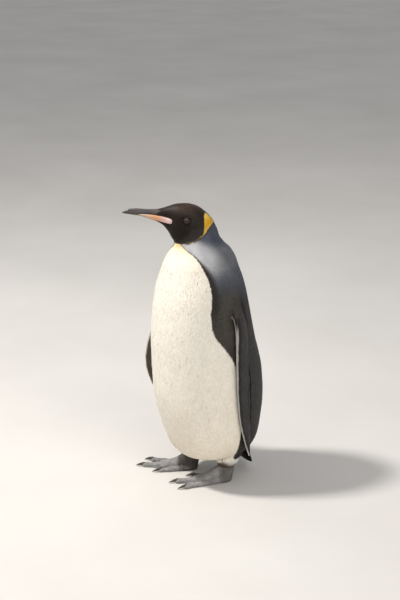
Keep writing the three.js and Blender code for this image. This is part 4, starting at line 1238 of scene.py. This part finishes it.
# ------------------------------------------------------------------ bill
gape_z = curve([63, 72.3, 83.6, 105.9, 128.5, 146.4, 175, 205.2], [744.5, 751.2, 757, 761.6, 764.1, 764.3, 764.2, 763.6])
culmen = curve([90, 100.4, 117.2, 134, 150.8, 167.7, 184.5, 195.8, 202, 206.5], [779, 777, 774.2, 773.9, 775, 776.4, 775.4, 771.6, 768, 764.4])
gonys = curve([70, 84, 99.3, 111.7, 128.5, 145.3, 159.8, 173.2, 190, 203], [728, 731, 733.8, 740, 746.6, 752.3, 756.6, 758.6, 761.2, 763])
bill_half = curve([70, 99, 117, 134, 151, 170, 186, 197, 206.5], [14, 12.4, 10.9, 9.2, 7.5, 6.0, 4.8, 3.6, 1.5])
plate_top = curve([70.5, 72, 76, 83.6, 94.9, 105.9, 128.5, 150.8, 165], [746.5, 750.4, 752.8, 754.8, 757.2, 758.8, 761.4, 762.6, 761.2])
plate_low = curve([70.5, 72, 78, 94.9, 105.9, 117.2, 128.5, 150.8, 165], [742.5, 740.4, 739.4, 741.6, 744.2, 746.6, 749.6, 756.4, 760.2])
plate_out = curve([70.5, 76, 90, 106, 117, 134, 151, 165], [24.6, 24.6, 18.6, 15.2, 13.2, 10.6, 8.6, 7.0])


def bill_part(name, upper):
    fs = np.concatenate([np.arange(96, 196, 1.4), np.linspace(196, 206.3 if upper else 202.2, 26)])
    rings, att = [], []
    for f in fs:
        g, far, w_ = float(gape_z(f)), float(culmen(f) if upper else gonys(f)), float(bill_half(f)) * (1 if upper else 0.92)
        end = 206.5 if upper else 202.6
        k = sqrt(max(1 - (max(f - (end - 7.0), 0) / 7.0) ** 2.2, 0.004))
        base = g + (0.12 if upper else -0.18)
        if f < FEATHER_LINE:                      # sinks under the feathering
            s_ = 1 - 0.10 * (FEATHER_LINE - f) / 20
            w_ *= s_
            far = base + (far - base) * (s_ - 0.02)
        t = np.linspace(0, pi, 44)
        c, s = np.cos(t), np.sin(t)
        v = np.abs(s) ** 0.85
        l = w_ * k * spow(c, 0.8)
        side_w = np.abs(spow(c, 0.8))
        z = base + (far - base) * v * (0.25 + 0.75 * k if f > end - 7 else 1.0)
        if upper:
            win = float(step(f, 104, 122) * (1 - step(f, 168, 186)))
            slot = float(np.exp(-((f - 131) / 4.2) ** 2))
            dent = 0.55 * win * np.exp(-((v - 0.56) / 0.10) ** 2) + 0.95 * slot * np.exp(-((v - 0.58) / 0.09) ** 2)
            ridge_ = 0.30 * win * np.exp(-((v - 0.80) / 0.09) ** 2)
            l = l - np.sign(c) * (dent - ridge_)
            l = l + np.sign(c) * 0.22 * np.exp(-((v - 0.06) / 0.06) ** 2)          # cutting edge
        else:
            l = l - np.sign(c) * 0.5 * np.exp(-((v - 0.72) / 0.08) ** 2) * float(step(f, 120, 140) * (1 - step(f, 185, 198)))
        inner = np.linspace(0, 1, 14)[1:-1]
        li = l[-1] + (l[0] - l[-1]) * inner
        zi = np.full(len(inner), base) + (0.9 if upper else -0.9) * np.sin(pi * inner) ** 0.5 * min(k, 1.0)
        R = np.vstack([head_at(f, l * (1 if upper else -1), z), head_at(f, li * (1 if upper else -1), zi)])
        rings.append(R)
        att.append(np.stack([np.full(len(R), f), np.concatenate([l, li]), np.concatenate([v, np.zeros(len(inner))])], 1))
    ob = outward(build(name, *loft(rings)))
    a = np.vstack(att + [att[0].mean(0)[None], att[-1].mean(0)[None]])
    point_vector(ob.data, "horn", a)
    return ob


def plate_part(name, side):
    fs = np.concatenate([np.linspace(70.5, 78, 20), np.arange(79, 160, 1.3), np.linspace(160.5, 165, 8)])
    t = np.linspace(0, 2 * pi, 36, endpoint=False)
    rings, att = [], []
    for f in fs:
        zc, hz, o = float(plate_top(f) + plate_low(f)) / 2, float(plate_top(f) - plate_low(f)) / 2, float(plate_out(f))
        k = sqrt(max(1 - (max(73.5 - f, 0) / 3.1) ** 2, 0.05))
        th = 3.2 * k
        c, s = np.cos(t), np.sin(t)
        l = (o - 2.2) + th * spow(c, 0.9) - 0.35 * np.exp(-((s + 0.15) / 0.35) ** 2) * (c > 0)
        z = zc + hz * spow(s, 0.95) * (0.8 + 0.2 * k)
        rings.append(head_at(f, side * l, z))
        att.append(np.stack([np.full(len(t), f), l, s], 1))
    ob = outward(build(name, *loft(rings)))
    a = np.vstack(att + [att[0].mean(0)[None], att[-1].mean(0)[None]])
    point_vector(ob.data, "horn", a)
    return ob


bill_u, bill_l = bill_part("bill_horn_upper", True), bill_part("bill_horn_lower", False)
plates = {s: plate_part("bill_plate_shell_" + s, 1 if s == "L" else -1) for s in "LR"}


# ------------------------------------------------------------------ eyes and claws
def eye_part(name, side):
    c = head_at(EYE_FORWARD, side * EYE_OUT, EYE_HEIGHT)
    axis = unit(HL * side + HF * 0.16 - UP * 0.04)
    a = unit(np.cross(axis, UP))
    b = np.cross(a, axis)
    rings, att = [], []
    t = np.linspace(0, 2 * pi, 56, endpoint=False)
    for th in np.concatenate([np.linspace(0.02, 0.9, 30), np.linspace(0.95, pi - 0.02, 22)]):
        r = EYE_RADIUS + 0.5 * np.exp(-(th / 0.42) ** 4) - 0.25
        rings.append(c + axis * r * cos(th) + (a[None] * np.cos(t)[:, None] + b[None] * np.sin(t)[:, None]) * r * sin(th))
        att.append(np.stack([np.full(len(t), th), np.cos(t), np.sin(t)], 1))
    ob = outward(build(name, *loft(rings)))
    point_vector(ob.data, "gaze", np.vstack(att + [[[0, 1, 0]], [[3.1, 1, 0]]]))
    return ob


eyes = {s: eye_part("eyeball_" + s, 1 if s == "L" else -1) for s in "LR"}


def claw_parts():
    Vs, Qs, Ts, At, off = [], [], [], [], 0
    t = np.linspace(0, 2 * pi, 28, endpoint=False)
    for side in (1, -1):
        f, o, heel = foot_frame(side)
        for toe in TOES:
            a = radians(toe["angle"])
            rings, att = [], []
            for k in np.concatenate([np.linspace(-0.16, 0.9, 26), [0.94, 0.97, 0.99, 1.0]]):
                kk = max(k, 0)
                u = toe["length"] - CLAW + CLAW * k
                w_ = toe["root"][1] + np.tan(a) * (u - toe["root"][0])
                r = 4.3 * (1 - kk) ** 0.72 + 0.35 * min(1, (1.0 - kk) * 12 + 0.3) + 0.1
                if k < 0:
                    r *= 1 - 0.9 * k * k
                zc = max(7.6 - 0.6 * kk - 5.3 * kk * kk, r * 1.05 + 0.05)
                x, z = r * 0.92 * spow(np.cos(t), 0.9), r * 1.08 * np.sin(t)
                z = z + 0.35 * r / 4.3 * np.exp(-(np.cos(t) / 0.35) ** 2) * (np.sin(t) > 0) - 0.30 * r / 4.3 * np.exp(-(np.cos(t) / 0.5) ** 2) * (np.sin(t) < 0) * -1
                rings.append(foot_at(side, u, w_ + 0 * x, np.maximum(zc + z, 0.05)) + o * x[:, None])
                att.append(np.stack([np.full(len(t), kk), np.cos(t), np.sin(t)], 1))
            v, q, tr = loft(rings)
            Vs.append(v)
            Qs.append(q + off)
            Ts.append(tr + off)
            At += att + [att[0].mean(0)[None], att[-1].mean(0)[None]]
            off += len(v)
    ob = outward(build("claws", np.vstack(Vs), np.vstack(Qs), np.vstack(Ts)))
    point_vector(ob.data, "horn", np.vstack(At))
    return ob


claws = claw_parts()


# ------------------------------------------------------------------ materials
def material(name):
    m = bpy.data.materials.new(name)
    m.use_nodes = True
    nt = m.node_tree
    for n in list(nt.nodes):
        nt.nodes.remove(n)
    out = nt.nodes.new("ShaderNodeOutputMaterial")
    bs = nt.nodes.new("ShaderNodeBsdfPrincipled")
    nt.links.new(bs.outputs[0], out.inputs[0])
    return m, nt, bs


def node(nt, kind, **kw):
    n = nt.nodes.new(kind)
    for k, v in kw.items():
        setattr(n, k, v)
    return n


def attr(nt, name):
    return node(nt, "ShaderNodeAttribute", attribute_name=name)


def math(nt, op, a, b=None, c=None, clamp=False):
    n = node(nt, "ShaderNodeMath", operation=op)
    n.use_clamp = clamp
    for i, v in enumerate((a, b, c)):
        if v is None:
            continue
        if isinstance(v, (int, float)):
            n.inputs[i].default_value = v
        else:
            nt.links.new(v, n.inputs[i])
    return n.outputs[0]


def noise_tex(nt, vec, scale, detail=3.0, rough=0.55):
    n = node(nt, "ShaderNodeTexNoise")
    n.inputs["Scale"].default_value, n.inputs["Detail"].default_value, n.inputs["Roughness"].default_value = scale, detail, rough
    nt.links.new(vec, n.inputs["Vector"])
    return n


def ramp(nt, fac, stops, linear=True):
    n = node(nt, "ShaderNodeValToRGB")
    e = n.color_ramp.elements
    while len(e) < len(stops):
        e.new(0.5)
    for el, (p, c) in zip(e, stops):
        el.position = p
        el.color = (*c, 1.0) if len(c) == 3 else c
    nt.links.new(fac, n.inputs[0])
    return n.outputs[0]


def grey(v):
    return (v, v, v)


def blend_rgb(nt, mode, fac, a, b):
    n = node(nt, "ShaderNodeMix", data_type="RGBA", blend_type=mode)
    for s, v in ((n.inputs[0], fac), (n.inputs[6], a), (n.inputs[7], b)):
        if isinstance(v, (int, float)):
            s.default_value = v
        elif isinstance(v, tuple):
            s.default_value = (*v, 1.0)
        else:
            nt.links.new(v, s)
    return n.outputs[2]


def bump(nt, height, strength, distance, normal=None):
    n = node(nt, "ShaderNodeBump")
    n.inputs["Strength"].default_value, n.inputs["Distance"].default_value = strength, distance
    nt.links.new(height, n.inputs["Height"])
    if normal is not None:
        nt.links.new(normal, n.inputs["Normal"])
    return n.outputs[0]


def feather_material(name, rough=0.62, spec=0.3, sheen=0.12, barb=0.55, depth=0.35, mottle=0.86):
    """Markings from the piece's own colours, darker and lighter patches, fine barbs along each vane."""
    m, nt, bs = material(name)
    tc = node(nt, "ShaderNodeTexCoord").outputs["Object"]
    col = attr(nt, "col").outputs["Color"]
    patches = noise_tex(nt, tc, 38.0, 3.0).outputs[0]
    shade = ramp(nt, patches, [(0.3, grey(mottle)), (0.7, grey(1.0))])
    fine = ramp(nt, noise_tex(nt, tc, 900.0, 2.0).outputs[0], [(0.3, grey(0.90)), (0.72, grey(1.0))])
    c = blend_rgb(nt, "MULTIPLY", 1.0, col, shade)
    c = blend_rgb(nt, "MULTIPLY", 0.8, c, fine)
    nt.links.new(c, bs.inputs["Base Color"])
    v = node(nt, "ShaderNodeSeparateXYZ")
    nt.links.new(attr(nt, "vane").outputs["Vector"], v.inputs[0])
    ax = math(nt, "ABSOLUTE", v.outputs[0])
    ph = math(nt, "MULTIPLY_ADD", ax, -1.15, v.outputs[1])
    wob = math(nt, "MULTIPLY_ADD", noise_tex(nt, tc, 420.0, 2.0).outputs[0], 0.5, ph)
    wave = math(nt, "SINE", math(nt, "MULTIPLY", wob, 2 * pi / barb))
    h = math(nt, "MULTIPLY_ADD", wave, 0.5, 0.5)
    nt.links.new(bump(nt, h, depth, 0.00022), bs.inputs["Normal"])
    r = ramp(nt, noise_tex(nt, tc, 120.0, 2.0).outputs[0], [(0.3, grey(rough - 0.08)), (0.7, grey(min(rough + 0.1, 1.0)))])
    nt.links.new(r, bs.inputs["Roughness"])
    bs.inputs["Specular IOR Level"].default_value = spec
    bs.inputs["Sheen Weight"].default_value = sheen
    bs.inputs["Sheen Roughness"].default_value = 0.45
    return m


M_TRUNK = feather_material("plumage_body", 0.60, 0.22, 0.0, depth=0.2, mottle=0.93)
M_NECK = feather_material("plumage_neck", 0.55, 0.32, 0.0, barb=0.45)
M_HEAD = feather_material("plumage_head", 0.46, 0.17, 0.0, barb=0.32, depth=0.3)
M_FLIP = feather_material("plumage_flipper", 0.50, 0.26, 0.0, barb=0.3, depth=0.3)
M_TAIL = feather_material("plumage_tail", 0.52, 0.35, 0.0, barb=0.7, depth=0.45)


def skin_material():
    m, nt, bs = material("skin")
    tc = node(nt, "ShaderNodeTexCoord").outputs["Object"]
    col = attr(nt, "col").outputs["Color"]
    foot, lid = attr(nt, "foot").outputs["Fac"], attr(nt, "lid").outputs["Fac"]
    gr = attr(nt, "groove").outputs["Fac"]
    blotch = ramp(nt, noise_tex(nt, tc, 60.0, 4.0).outputs[0], [(0.28, (0.185, 0.180, 0.177)), (0.5, (0.29, 0.283, 0.277)), (0.75, (0.42, 0.41, 0.40))])
    vo = node(nt, "ShaderNodeTexVoronoi", feature="DISTANCE_TO_EDGE")
    vo.inputs["Scale"].default_value = 520.0
    nt.links.new(tc, vo.inputs["Vector"])
    cells = ramp(nt, vo.outputs["Distance"], [(0.0, grey(0.55)), (0.16, grey(1.0))])
    fc = blend_rgb(nt, "MULTIPLY", 1.0, blotch, cells)
    fc = blend_rgb(nt, "MULTIPLY", 1.0, fc, gr)
    dust = ramp(nt, noise_tex(nt, tc, 210.0, 5.0, 0.7).outputs[0], [(0.5, grey(0.0)), (0.72, grey(1.0))])
    fc = blend_rgb(nt, "MIX", math(nt, "MULTIPLY", dust, 0.35), fc, (0.36, 0.34, 0.31))
    # darkening towards the heels, stronger on the far foot where it is painted shade
    c = blend_rgb(nt, "MIX", math(nt, "MULTIPLY", attr(nt, "heel_dark_and_shade").outputs["Fac"], 0.86), fc, blend_rgb(nt, "MULTIPLY", 0.7, (0.034, 0.026, 0.021), cells))
    c = blend_rgb(nt, "MIX", foot, col, c)
    lc = ramp(nt, noise_tex(nt, tc, 700.0, 3.0).outputs[0], [(0.3, (0.012, 0.0095, 0.008)), (0.7, (0.036, 0.030, 0.026))])
    c = blend_rgb(nt, "MIX", lid, c, lc)
    nt.links.new(c, bs.inputs["Base Color"])
    h = math(nt, "MULTIPLY", cells, foot)
    h = math(nt, "MULTIPLY_ADD", noise_tex(nt, tc, 1600.0, 3.0).outputs[0], 0.35, h)
    nt.links.new(bump(nt, h, 0.55, 0.0004), bs.inputs["Normal"])
    r = math(nt, "MULTIPLY_ADD", lid, -0.22, 0.72)
    nt.links.new(math(nt, "MULTIPLY_ADD", noise_tex(nt, tc, 300.0).outputs[0], 0.12, math(nt, "SUBTRACT", r, 0.06)), bs.inputs["Roughness"])
    bs.inputs["Specular IOR Level"].default_value = 0.4
    return m


def horn_material(name, kind):
    m, nt, bs = material(name)
    tc = node(nt, "ShaderNodeTexCoord").outputs["Object"]
    a = attr(nt, "horn").outputs["Vector"]
    sp = node(nt, "ShaderNodeSeparateXYZ")
    nt.links.new(a, sp.inputs[0])
    st = node(nt, "ShaderNodeVectorMath", operation="MULTIPLY")
    nt.links.new(a, st.inputs[0])
    st.inputs[1].default_value = (0.05, 1.4, 6.0) if kind != "claw" else (1.5, 3.0, 3.0)
    streak = noise_tex(nt, st.outputs[0], 2.2, 4.0, 0.6).outputs[0]
    wob = math(nt, "MULTIPLY_ADD", noise_tex(nt, tc, 160.0, 3.0).outputs[0], 9.0, math(nt, "SUBTRACT", sp.outputs[0], 4.5))
    if kind == "bill":
        c = ramp(nt, streak, [(0.3, (0.012, 0.010, 0.0095)), (0.55, (0.026, 0.0225, 0.0215)), (0.78, (0.075, 0.066, 0.064))])
        f = math(nt, "MULTIPLY_ADD", wob, 1 / 110.0, -100 / 110.0, clamp=True)
        toward = ramp(nt, f, [(0.0, (0.05, 0.038, 0.028)), (0.16, (0.046, 0.037, 0.029)), (0.30, (0.024, 0.020, 0.019)), (0.55, (0.05, 0.046, 0.047)), (0.72, (0.045, 0.041, 0.040)), (1.0, (0.018, 0.015, 0.014))])
        c = blend_rgb(nt, "ADD", 0.8, c, toward)
        spot_f = math(nt, "MULTIPLY", math(nt, "SUBTRACT", sp.outputs[0], 131.0), 0.22)
        spot_v = math(nt, "MULTIPLY", math(nt, "SUBTRACT", sp.outputs[2], 0.60), 11.0)
        r2 = math(nt, "ADD", math(nt, "POWER", spot_f, 2.0), math(nt, "POWER", spot_v, 2.0))
        spot = math(nt, "SUBTRACT", 1.0, r2, clamp=True)
        c = blend_rgb(nt, "MIX", math(nt, "MULTIPLY", spot, 0.55), c, (0.16, 0.125, 0.15))
        rough = (0.26, 0.46)
        bs.inputs["Coat Weight"].default_value = 0.15
        bs.inputs["Coat Roughness"].default_value = 0.25
    elif kind == "plate":
        f = math(nt, "MULTIPLY_ADD", wob, 1 / 100.0, -68 / 100.0, clamp=True)
        c = ramp(nt, f, [(0.0, (0.62, 0.42, 0.42)), (0.10, (0.79, 0.565, 0.565)), (0.27, (0.78, 0.50, 0.47)), (0.36, (0.75, 0.44, 0.31)), (0.43, (0.77, 0.40, 0.19)),
                         (0.55, (0.77, 0.41, 0.20)), (0.65, (0.72, 0.46, 0.30)), (0.84, (0.62, 0.46, 0.36)), (0.97, (0.22, 0.15, 0.10))])
        veil = ramp(nt, streak, [(0.35, grey(0.68)), (0.65, grey(0.86))])
        c = blend_rgb(nt, "MULTIPLY", 1.0, c, veil)
        edge = math(nt, "POWER", math(nt, "ABSOLUTE", sp.outputs[2]), 9.0)
        c = blend_rgb(nt, "MIX", math(nt, "MULTIPLY", edge, 0.55), c, (0.16, 0.07, 0.055))
        rough = (0.24, 0.42)
        bs.inputs["Subsurface Weight"].default_value = 0.12
        bs.inputs["Subsurface Radius"].default_value = (0.002, 0.001, 0.0006)
        bs.inputs["Subsurface Scale"].default_value = 1.0
    else:
        c = ramp(nt, sp.outputs[0], [(0.0, (0.045, 0.038, 0.034)), (0.5, (0.052, 0.044, 0.039)), (0.82, (0.12, 0.105, 0.09)), (1.0, (0.30, 0.27, 0.22))])
        veil = ramp(nt, streak, [(0.3, grey(0.65)), (0.7, grey(1.0))])
        c = blend_rgb(nt, "MULTIPLY", 1.0, c, veil)
        rough = (0.48, 0.70)
    nt.links.new(c, bs.inputs["Base Color"])
    nt.links.new(ramp(nt, streak, [(0.3, grey(rough[0])), (0.7, grey(rough[1]))]), bs.inputs["Roughness"])
    h = math(nt, "MULTIPLY_ADD", noise_tex(nt, tc, 1400.0, 3.0).outputs[0], 0.25, streak)
    nt.links.new(bump(nt, h, 0.35, 0.00035), bs.inputs["Normal"])
    bs.inputs["Specular IOR Level"].default_value = 0.5
    return m


def eye_material():
    m, nt, bs = material("eye_gloss")
    sp = node(nt, "ShaderNodeSeparateXYZ")
    a = attr(nt, "gaze").outputs["Vector"]
    nt.links.new(a, sp.inputs[0])
    st = node(nt, "ShaderNodeVectorMath", operation="MULTIPLY")
    nt.links.new(a, st.inputs[0])
    st.inputs[1].default_value = (0.8, 9.0, 9.0)
    fib = noise_tex(nt, st.outputs[0], 1.6, 4.0, 0.65).outputs[0]
    th = math(nt, "MULTIPLY_ADD", fib, 0.05, math(nt, "SUBTRACT", sp.outputs[0], 0.025))
    c = ramp(nt, th, [(0.0, (0.003, 0.002, 0.002)), (0.235, (0.003, 0.002, 0.002)), (0.26, (0.042, 0.016, 0.007)), (0.44, (0.075, 0.029, 0.012)),
                      (0.60, (0.034, 0.013, 0.007)), (0.66, (0.007, 0.005, 0.004)), (1.0, (0.010, 0.007, 0.006))])
    c = blend_rgb(nt, "MULTIPLY", 0.7, c, ramp(nt, fib, [(0.25, grey(0.5)), (0.75, grey(1.0))]))
    nt.links.new(c, bs.inputs["Base Color"])
    nt.links.new(ramp(nt, th, [(0.6, grey(0.05)), (0.8, grey(0.2))]), bs.inputs["Roughness"])
    bs.inputs["Specular IOR Level"].default_value = 0.38
    return m


def floor_material():
    m, nt, bs = material("pale_floor")
    tc = node(nt, "ShaderNodeTexCoord").outputs["Object"]
    c = ramp(nt, noise_tex(nt, tc, 1.4, 4.0).outputs[0], [(0.3, (0.53, 0.515, 0.49)), (0.7, (0.59, 0.575, 0.55))])
    nt.links.new(c, bs.inputs["Base Color"])
    nt.links.new(bump(nt, noise_tex(nt, tc, 260.0, 4.0).outputs[0], 0.12, 0.001), bs.inputs["Normal"])
    bs.inputs["Roughness"].default_value = 0.85
    return m


def give(ob, m):
    ob.data.materials.clear()
    ob.data.materials.append(m)


for ob in COAT:
    give(ob, M_HEAD if "head" in ob.name else M_NECK if "neck" in ob.name else M_FLIP if "flipper" in ob.name else M_TRUNK)
give(tail_ob, M_TAIL)
give(skin, skin_material())
bill_mat = horn_material("bill_horn", "bill")
give(bill_u, bill_mat)
give(bill_l, bill_mat)
plate_mat = horn_material("bill_plate", "plate")
eye_mat = eye_material()
for s in "LR":
    give(plates[s], plate_mat)
    give(eyes[s], eye_mat)
give(claws, horn_material("claw_horn", "claw"))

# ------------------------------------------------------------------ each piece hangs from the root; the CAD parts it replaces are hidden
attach(skin, "root")
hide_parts("head", "neck", "trunk", "tail", "flipper_L", "flipper_R", "leg_L", "leg_R", "foot_L", "foot_R")
for ob in COAT + [tail_ob]:
    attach(ob, "root")
for ob, nodes, slot in ((bill_u, ["bill_upper"], "bill_horn"), (bill_l, ["bill_lower"], "bill_horn"), (plates["L"], ["bill_plate_L"], "bill_plate"),
                        (plates["R"], ["bill_plate_R"], "bill_plate"), (eyes["L"], ["eye_L"], "eye_gloss"), (eyes["R"], ["eye_R"], "eye_gloss"),
                        (claws, ["claw_%s_%s" % (t["name"], s) for s in "LR" for t in TOES], "claw_horn")):
    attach(ob, "root")
    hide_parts(*nodes)

# ------------------------------------------------------------------ floor, light, camera
TOWARD = np.array([sin(radians(62)), -cos(radians(62)), 0.0])      # from the bird to the camera
RIGHT = np.array([cos(radians(62)), sin(radians(62)), 0.0])


def flat(name, size, z):
    n = 24
    x = np.linspace(-size, size, n)
    X, Y = np.meshgrid(x, x, indexing="ij")
    V = np.stack([X.ravel(), Y.ravel(), np.full(n * n, z)], 1)
    i, j = np.meshgrid(np.arange(n - 1), np.arange(n - 1), indexing="ij")
    a = (i * n + j).ravel()
    return build(name, V, np.stack([a, a + n, a + n + 1, a + 1], 1), scale=False)


floor = flat("floor", 30.0, -0.0004)
give(floor, floor_material())


def area_light(name, direction, dist, size, power, colour=(1, 1, 1), aim=(0, 0, 400)):
    d = unit(np.asarray(direction, float))
    li = bpy.data.lights.new(name, "AREA")
    li.shape, li.size, li.energy, li.color = "DISK", size, power, colour
    ob = bpy.data.objects.new(name, li)
    bpy.context.scene.collection.objects.link(ob)
    t = Vector(to_m(np.array(aim, float)))
    ob.location = t + Vector(d) * dist
    ob.rotation_euler = Vector(-d).to_track_quat("-Z", "Y").to_euler()
    return ob


area_light("key", -RIGHT * 0.53 + TOWARD * 0.03 + UP * 0.848, 3.4, 0.40, 142, (1.0, 0.965, 0.92))
area_light("fill", TOWARD * 0.8 + RIGHT * 0.35 + UP * 0.55, 4.5, 3.2, 79, (1.0, 0.965, 0.915))
area_light("back", -TOWARD * 0.7 + RIGHT * 0.5 + UP * 0.9, 3.6, 2.2, 8, (0.95, 0.97, 1.0))
world = bpy.data.worlds.new("studio")
bpy.context.scene.world = world
world.use_nodes = True
world.node_tree.nodes["Background"].inputs[0].default_value = (0.98, 0.98, 1.0, 1.0)
world.node_tree.nodes["Background"].inputs[1].default_value = 0.52

cam = bpy.data.cameras.new("camera")
cam.lens, cam.sensor_width = 76.4, 36.0
camera = bpy.data.objects.new("camera", cam)
bpy.context.scene.collection.objects.link(camera)
camera.location = Vector(to_m(TOWARD * 3256.0 + UP * 1599.0))
look = -TOWARD * cos(radians(18.3)) - UP * sin(radians(18.3))
camera.rotation_euler = Vector(look).to_track_quat("-Z", "Y").to_euler()
bpy.context.scene.camera = camera
vs = bpy.context.scene.view_settings
vs.view_transform, vs.look, vs.exposure, vs.gamma = "Standard", "None", 0.0, 1.0

total = 0
for ob in [skin, tail_ob, bill_u, bill_l, claws] + COAT + list(plates.values()) + list(eyes.values()):
    ob.data.calc_loop_triangles()
    k = len(ob.data.loop_triangles)
    total += k
    print("tris", ob.name, k)
print("tris total", total)

bpy.context.view_layer.update()
